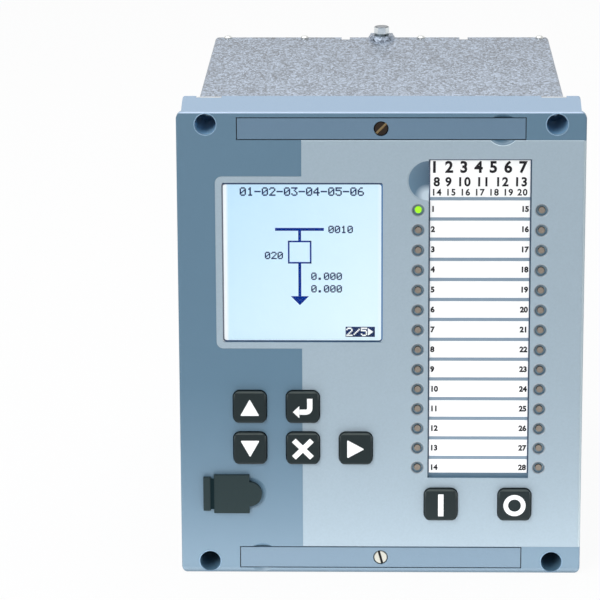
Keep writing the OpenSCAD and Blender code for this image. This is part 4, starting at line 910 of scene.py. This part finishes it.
def dotDigits(text, corner, size):
    # each character as a five by seven field of dots, where a row is one number whose binary digits are its
    # dots, and dots side by side in a row are run together
    outlines = []
    grow, dot, columns = screenValues["swell"], screenValues[size], screenValues["columns"]
    for place, character in enumerate(text):
        for row, bits in enumerate(digitRows[character]):
            lit = [(bits >> (columns - 1 - column)) & 1 for column in range(columns)] + [0]
            start = None
            for column, on in enumerate(lit):
                if on and start is None:
                    start = column
                if not on and start is not None:
                    left = corner[0] + (place * (columns + 1) + start) * dot
                    right = corner[0] + (place * (columns + 1) + column) * dot
                    top = corner[1] - row * dot
                    outlines.append(rectangle(left - grow, top - dot - grow, right + grow, top + grow))
                    start = None
    return outlines


def addScreenPiece(name, outlines, material, layers=1):
    # print on the display's front, one layer thick or more
    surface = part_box("display_panel")[0].y
    front = surface - screenValues["layer"] * millimetre * layers
    middle = np.array(screenValues["middle"]) - (0, screenValues["sink"])
    parts = [prism((outline + middle) * millimetre, front, surface) for outline in outlines]
    addPiece(name, parts, material)


def addScreen():
    # the drawing from rectangles about one upright axis, then the dotted numbers and the page box
    values = screenValues
    axis, half, line = values["axis"], values["boxHalf"], values["boxLine"]
    left, right, top, bottom = axis - half, axis + half, values["boxTop"], values["boxTop"] - 2 * half
    stem, arrowTop, arrowHalf = values["line"] / 2, values["arrowTop"], values["arrowHalf"]
    arrow = [(axis - arrowHalf, arrowTop), (axis, arrowTop - values["arrowH"]), (axis + arrowHalf, arrowTop)]
    lines = [rectangle(*values["bus"]), rectangle(axis - stem, top, axis + stem, values["bus"][1]),
             rectangle(axis - stem, arrowTop, axis + stem, bottom), np.array(arrow),
             rectangle(left, top - line, right, top), rectangle(left, bottom, right, bottom + line),
             rectangle(left, bottom, left + line, top), rectangle(right - line, bottom, right, top)]
    addScreenPiece("screenDrawing", lines, screenInk)
    numbers = [digit for words in screenTexts.values() for digit in dotDigits(*words)]
    addScreenPiece("screenNumbers", numbers, screenLetter)
    addScreenPiece("pageBox", [rectangle(*values["page"])], screenLetter)
    left, bottom, right, top = values["pageArrow"]
    arrow = np.array([(left, bottom), (right, (bottom + top) / 2), (left, top)])
    addScreenPiece("pageNumbers", [*dotDigits(*pageText), arrow], finishes["whiteCard"], 2)


# The clear pane, kept a hair off the display so that light passes cleanly, and a dark border round it that is
# painted shade at the window's edge: grey at the left, navy above and below, with a painted lit edge in blue
# at the right
paneValues = {"corner": 0.85, "backGap": 0.15}
borderValues = {"window": (59.2, 60.6), "width": 0.5, "topWidth": 0.85, "layer": 0.03, "corner": 1.1,
                "endReach": 2.2, "left": tone(140, 146, 160), "right": tone(58, 116, 172),
                "ends": tone(40, 66, 104)}


def addPane():
    # a flat plate with rounded corners
    low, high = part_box("clear_pane")
    outline = roundOutline((low.x, low.z), (high.x, high.z), paneValues["corner"] * millimetre)
    parts = [prism(outline, low.y, high.y - paneValues["backGap"] * millimetre)]
    pane = addPiece("pane", parts, finishes["clearPlastic"])
    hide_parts("clear_pane")


def borderFinish():
    # one tone on each side of the middle (painted shade at the left, a painted lit edge at the right), and
    # painted shade in the third beyond a height above or below it
    material = plastic("paneBorder", borderValues["ends"])
    tree = material.node_tree
    place = placeParts(tree)
    low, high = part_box("clear_pane")
    middle, reach = middleOf("clear_pane"), (high.z - low.z) / 2 - borderValues["endReach"] * millimetre
    height = calc(tree, "ABSOLUTE", calc(tree, "SUBTRACT", place["Z"], middle.z))
    share = calc(tree, "GREATER_THAN", place["X"], middle.x)
    sides = blendColor(tree, share, borderValues["left"], borderValues["right"])
    beyond = calc(tree, "GREATER_THAN", height, reach)
    return painted(material, blendColor(tree, beyond, sides, borderValues["ends"]))


def addPaneBorder():
    # a thin flat ring just inside the window, between two rounded outlines
    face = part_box("clear_pane")[0].y
    middle, reach = np.array(screenValues["middle"]), np.array(borderValues["window"]) / 2
    inset, corner = borderValues["width"], borderValues["corner"]
    outer = roundOutline(middle - reach, middle + reach, corner) * millimetre
    inner = roundOutline(middle - reach + inset, middle + reach - (inset, borderValues["topWidth"]),
                         corner - inset / 2) * millimetre
    front = face - borderValues["layer"] * millimetre
    ring = loopedRings([np.column_stack([outline[:, 0], np.full(len(outline), place), outline[:, 1]])
                        for outline, place in ((outer, face), (outer, front), (inner, front), (inner, face))])
    addPiece("paneBorder", [ring], borderFinish())


addScreen()
addPane()
addPaneBorder()
print("display made")


# Print on the label card: dark edges, lines between its rows, a number beside each indicator
headerLines = [
    {"text": "1 2 3 4 5 6 7", "size": 5.9, "weight": 0.2, "baseline": 65.9, "width": 34.6},
    {"text": "8 9 10 11 12 13", "size": 4.6, "weight": 0.16, "baseline": 60.8, "width": 34.2},
    {"text": "14 15 16 17 18 19 20", "size": 3.35, "weight": 0.1, "baseline": 57.3, "width": 34.6},
]
labelLine = plastic("labelLine", tone(126, 146, 162), roughness=0.5, speckle=0.04)
labelEdge = plastic("labelEdge", tone(58, 74, 98), roughness=0.5, speckle=0.04)
labelInk = plastic("labelInk", tone(34, 32, 36), roughness=0.5, depth=0.000002, Specular_IOR_Level=0.1)


def flatText(text, size, weight, side, spacing):
    # the letters' mesh, lying flat with its baseline on the origin
    curve = bpy.data.curves.new("words", "FONT")
    curve.body = text
    curve.size = size * millimetre
    curve.align_x = side
    curve.offset = weight * millimetre
    curve.extrude = labelValues["layer"] * millimetre
    curve.resolution_u = labelValues["curveSteps"]
    curve.space_character = spacing
    maker = bpy.data.objects.new("words", curve)
    bpy.context.scene.collection.objects.link(maker)
    bpy.context.view_layer.update()
    mesh = bpy.data.meshes.new_from_object(maker.evaluated_get(bpy.context.evaluated_depsgraph_get()))
    points = np.zeros(len(mesh.vertices) * 3)
    mesh.vertices.foreach_get("co", points)
    faces = [list(polygon.vertices) for polygon in mesh.polygons]
    bpy.data.objects.remove(maker)
    bpy.data.curves.remove(curve)
    bpy.data.meshes.remove(mesh)
    return points.reshape(-1, 3), faces


def textParts(text, size, weight, place, side, width=None):
    # letters stood up on the face; a width is met by spacing them, as the width grows evenly with the spacing
    spacing = 1.0
    if width is not None:
        spans = [np.ptp(flatText(text, size, weight, side, trial)[0][:, 0]) for trial in (1.0, 2.0)]
        spacing = 1 + (width * millimetre - spans[0]) / (spans[1] - spans[0])
    points, faces = flatText(text, size, weight, side, spacing)
    if side == "CENTER":
        points[:, 0] -= (points[:, 0].min() + points[:, 0].max()) / 2
    return np.column_stack([points[:, 0] + place[0], place[1] - points[:, 2], points[:, 1] + place[2]]), faces


def separator(low, high, middle):
    # a band across the card that widens in a quarter circle at each end
    half, r = labelValues["line"] / 2 * millimetre, labelValues["fillet"] * millimetre
    upper, lower = middle + half + r, middle - half - r
    ends = [((low.x + r, upper), 180), ((high.x - r, upper), 270), ((high.x - r, lower), 0),
            ((low.x + r, lower), 90)]
    return np.vstack([arc(centre, r, start, start + 90, 5) for centre, start in ends])


def addLabel():
    # rows at an even pitch, with each number set halfway between two lines
    low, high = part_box("label_card")
    layer, edge, inset = [labelValues[name] * millimetre for name in ("layer", "edge", "inset")]
    first, pitch, rows = labelValues["firstLine"], labelValues["pitch"], labelValues["rows"]
    lines = [prism(separator(low, high, (first - row * pitch) * millimetre), low.y - layer, low.y)
             for row in range(rows)]
    addPiece("labelLines", lines, labelLine)
    sides = [rectangle(low.x, low.z, low.x + edge, high.z), rectangle(high.x - edge, low.z, high.x, high.z),
             rectangle(low.x + edge, high.z - edge, high.x - edge, high.z)]
    addPiece("labelEdges", [prism(side, low.y - labelValues["edgeLayers"] * layer, low.y) for side in sides],
             labelEdge)
    words = []
    size, weight = labelValues["textSize"], labelValues["textWeight"]
    for row in range(rows):
        baseline = (first - (row + 0.5) * pitch - size * labelValues["drop"]) * millimetre
        words.append(textParts(str(row + 1), size, weight, (low.x + inset, low.y, baseline), "LEFT"))
        words.append(textParts(str(row + 1 + rows), size, weight, (high.x - inset, low.y, baseline), "RIGHT"))
    for line in headerLines:
        place = ((low.x + high.x) / 2, low.y, line["baseline"] * millimetre)
        words.append(textParts(line["text"], line["size"], line["weight"], place, "CENTER", line["width"]))
    addPiece("labelNumbers", words, labelInk, closed=False)


addLabel()
print("label made")


# The small rounded bead round each fixing hole, in a paler tone as a painted highlight on the hole's rim, in
# millimetres:
# radii from the hole's middle and how far each stands proud
beadValues = {"x": 64.25, "z": 84.0, "tone": tone(134, 164, 188),
              "profile": ((3.88, -0.3), (3.9, 0.06), (4.02, 0.16), (4.12, 0.14), (4.25, 0.0), (4.25, -0.3))}


def addBeads():
    # the profile turned round each of the four holes
    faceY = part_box("front_bezel")[0].y
    profile = [(radius * millimetre, faceY - proud * millimetre) for radius, proud in beadValues["profile"]]
    rings = [ringParts(side * beadValues["x"] * millimetre, level * beadValues["z"] * millimetre, profile)
             for side in (-1, 1) for level in (-1, 1)]
    # paler than the bezel, as a painted highlight on the holes' rims
    material = plastic("beadPlastic", beadValues["tone"], roughness=0.42, speckle=0.06)
    addPiece("fixingBeads", rings, material, smooth=True)


addBeads()
print("beads made")


# Inside the sockets, in millimetres: a tongue with four contacts in the port, and eight sloping wires in each
# network socket
contactValues = {"tongue": (5.6, 3.2), "front": 1.2, "depth": 6.9, "padsAt": (1.25, -1.25), "padHalf": 0.4,
                 "pad": 0.12, "padSink": 0.3, "wires": 8, "pitch": 1.02, "wireHalf": 0.22,
                 "wireStart": (-1.6, 3.4), "wireEnd": (-9.0, -1.2), "wireThick": 0.4}


def addContacts():
    # flat blocks for the tongue and its pads, and bands of even width for the wires
    values = contactValues
    middleX, heights, rim = mouthOf("port")
    middle = np.array([middleX, heights[0]])
    front, back = rim + values["front"] * millimetre, rim + values["depth"] * millimetre
    w, h = np.array(values["tongue"]) / 2
    addPiece("portTongue", [prism(middle + rectangle(-w, -h, w, h) * millimetre, front, back)],
             finishes["palePlastic"])
    pads = []
    for offset in values["padsAt"]:
        for side in (-1, 1):
            low, high = sorted((side * h, side * (h + values["pad"])))
            outline = rectangle(offset - values["padHalf"], low, offset + values["padHalf"], high)
            pads.append(prism(middle + outline * millimetre, front + values["padSink"] * millimetre, back))
    addPiece("portContacts", pads, finishes["brass"])
    middleX, heights, rim = mouthOf("network")
    wires = []
    for height in heights:
        ends = np.array([values["wireStart"], values["wireEnd"]]) * millimetre + (rim, height)
        outline = stroke(ends, values["wireThick"] * millimetre)
        for place in range(values["wires"]):
            offset = (place - (values["wires"] - 1) / 2) * values["pitch"]
            across = [middleX + (offset + side * values["wireHalf"]) * millimetre for side in (-1, 1)]
            wires.append(prism(outline, *across, axis="x"))
    addPiece("networkContacts", wires, finishes["brass"])


addContacts()
print("contacts made")


# The thin web that joins the port cover's strap to its flap, in millimetres, in a near-black tone as painted
# shade in the groove
webValues = {"axisY": -32.0, "edge": 0.42, "waist": 0.22, "margin": 0.5, "grip": 0.06, "points": 13,
             "tone": tone(18, 34, 38)}


def addWeb():
    # a profile across the groove, thinner at the middle, carried up along Z
    strapLow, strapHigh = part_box("cover_strap")
    flapLow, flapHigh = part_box("cover_flap")
    left = strapHigh.x - webValues["grip"] * millimetre
    right = flapLow.x + webValues["grip"] * millimetre
    across = np.linspace(left, right, webValues["points"])
    middle = (left + right) / 2
    share = ((across - middle) / (right - middle)) ** 2
    half = (webValues["waist"] + (webValues["edge"] - webValues["waist"]) * share) / 2 * millimetre
    centre = webValues["axisY"] * millimetre
    outline = np.vstack([np.column_stack([across, centre - half]),
                         np.column_stack([across, centre + half])[::-1]])
    bottom = max(strapLow.z, flapLow.z) + webValues["margin"] * millimetre
    top = min(strapHigh.z, flapHigh.z) - webValues["margin"] * millimetre
    # darker than the cover's rubber, as painted shade in the groove
    rubber = plastic("grooveRubberPaintedShade", webValues["tone"], roughness=0.8, Specular_IOR_Level=0.05)
    piece = addPiece("coverWeb", [prism(outline, bottom, top, axis="z")], rubber, body=None)
    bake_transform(piece)


addWeb()
print("cover web made")
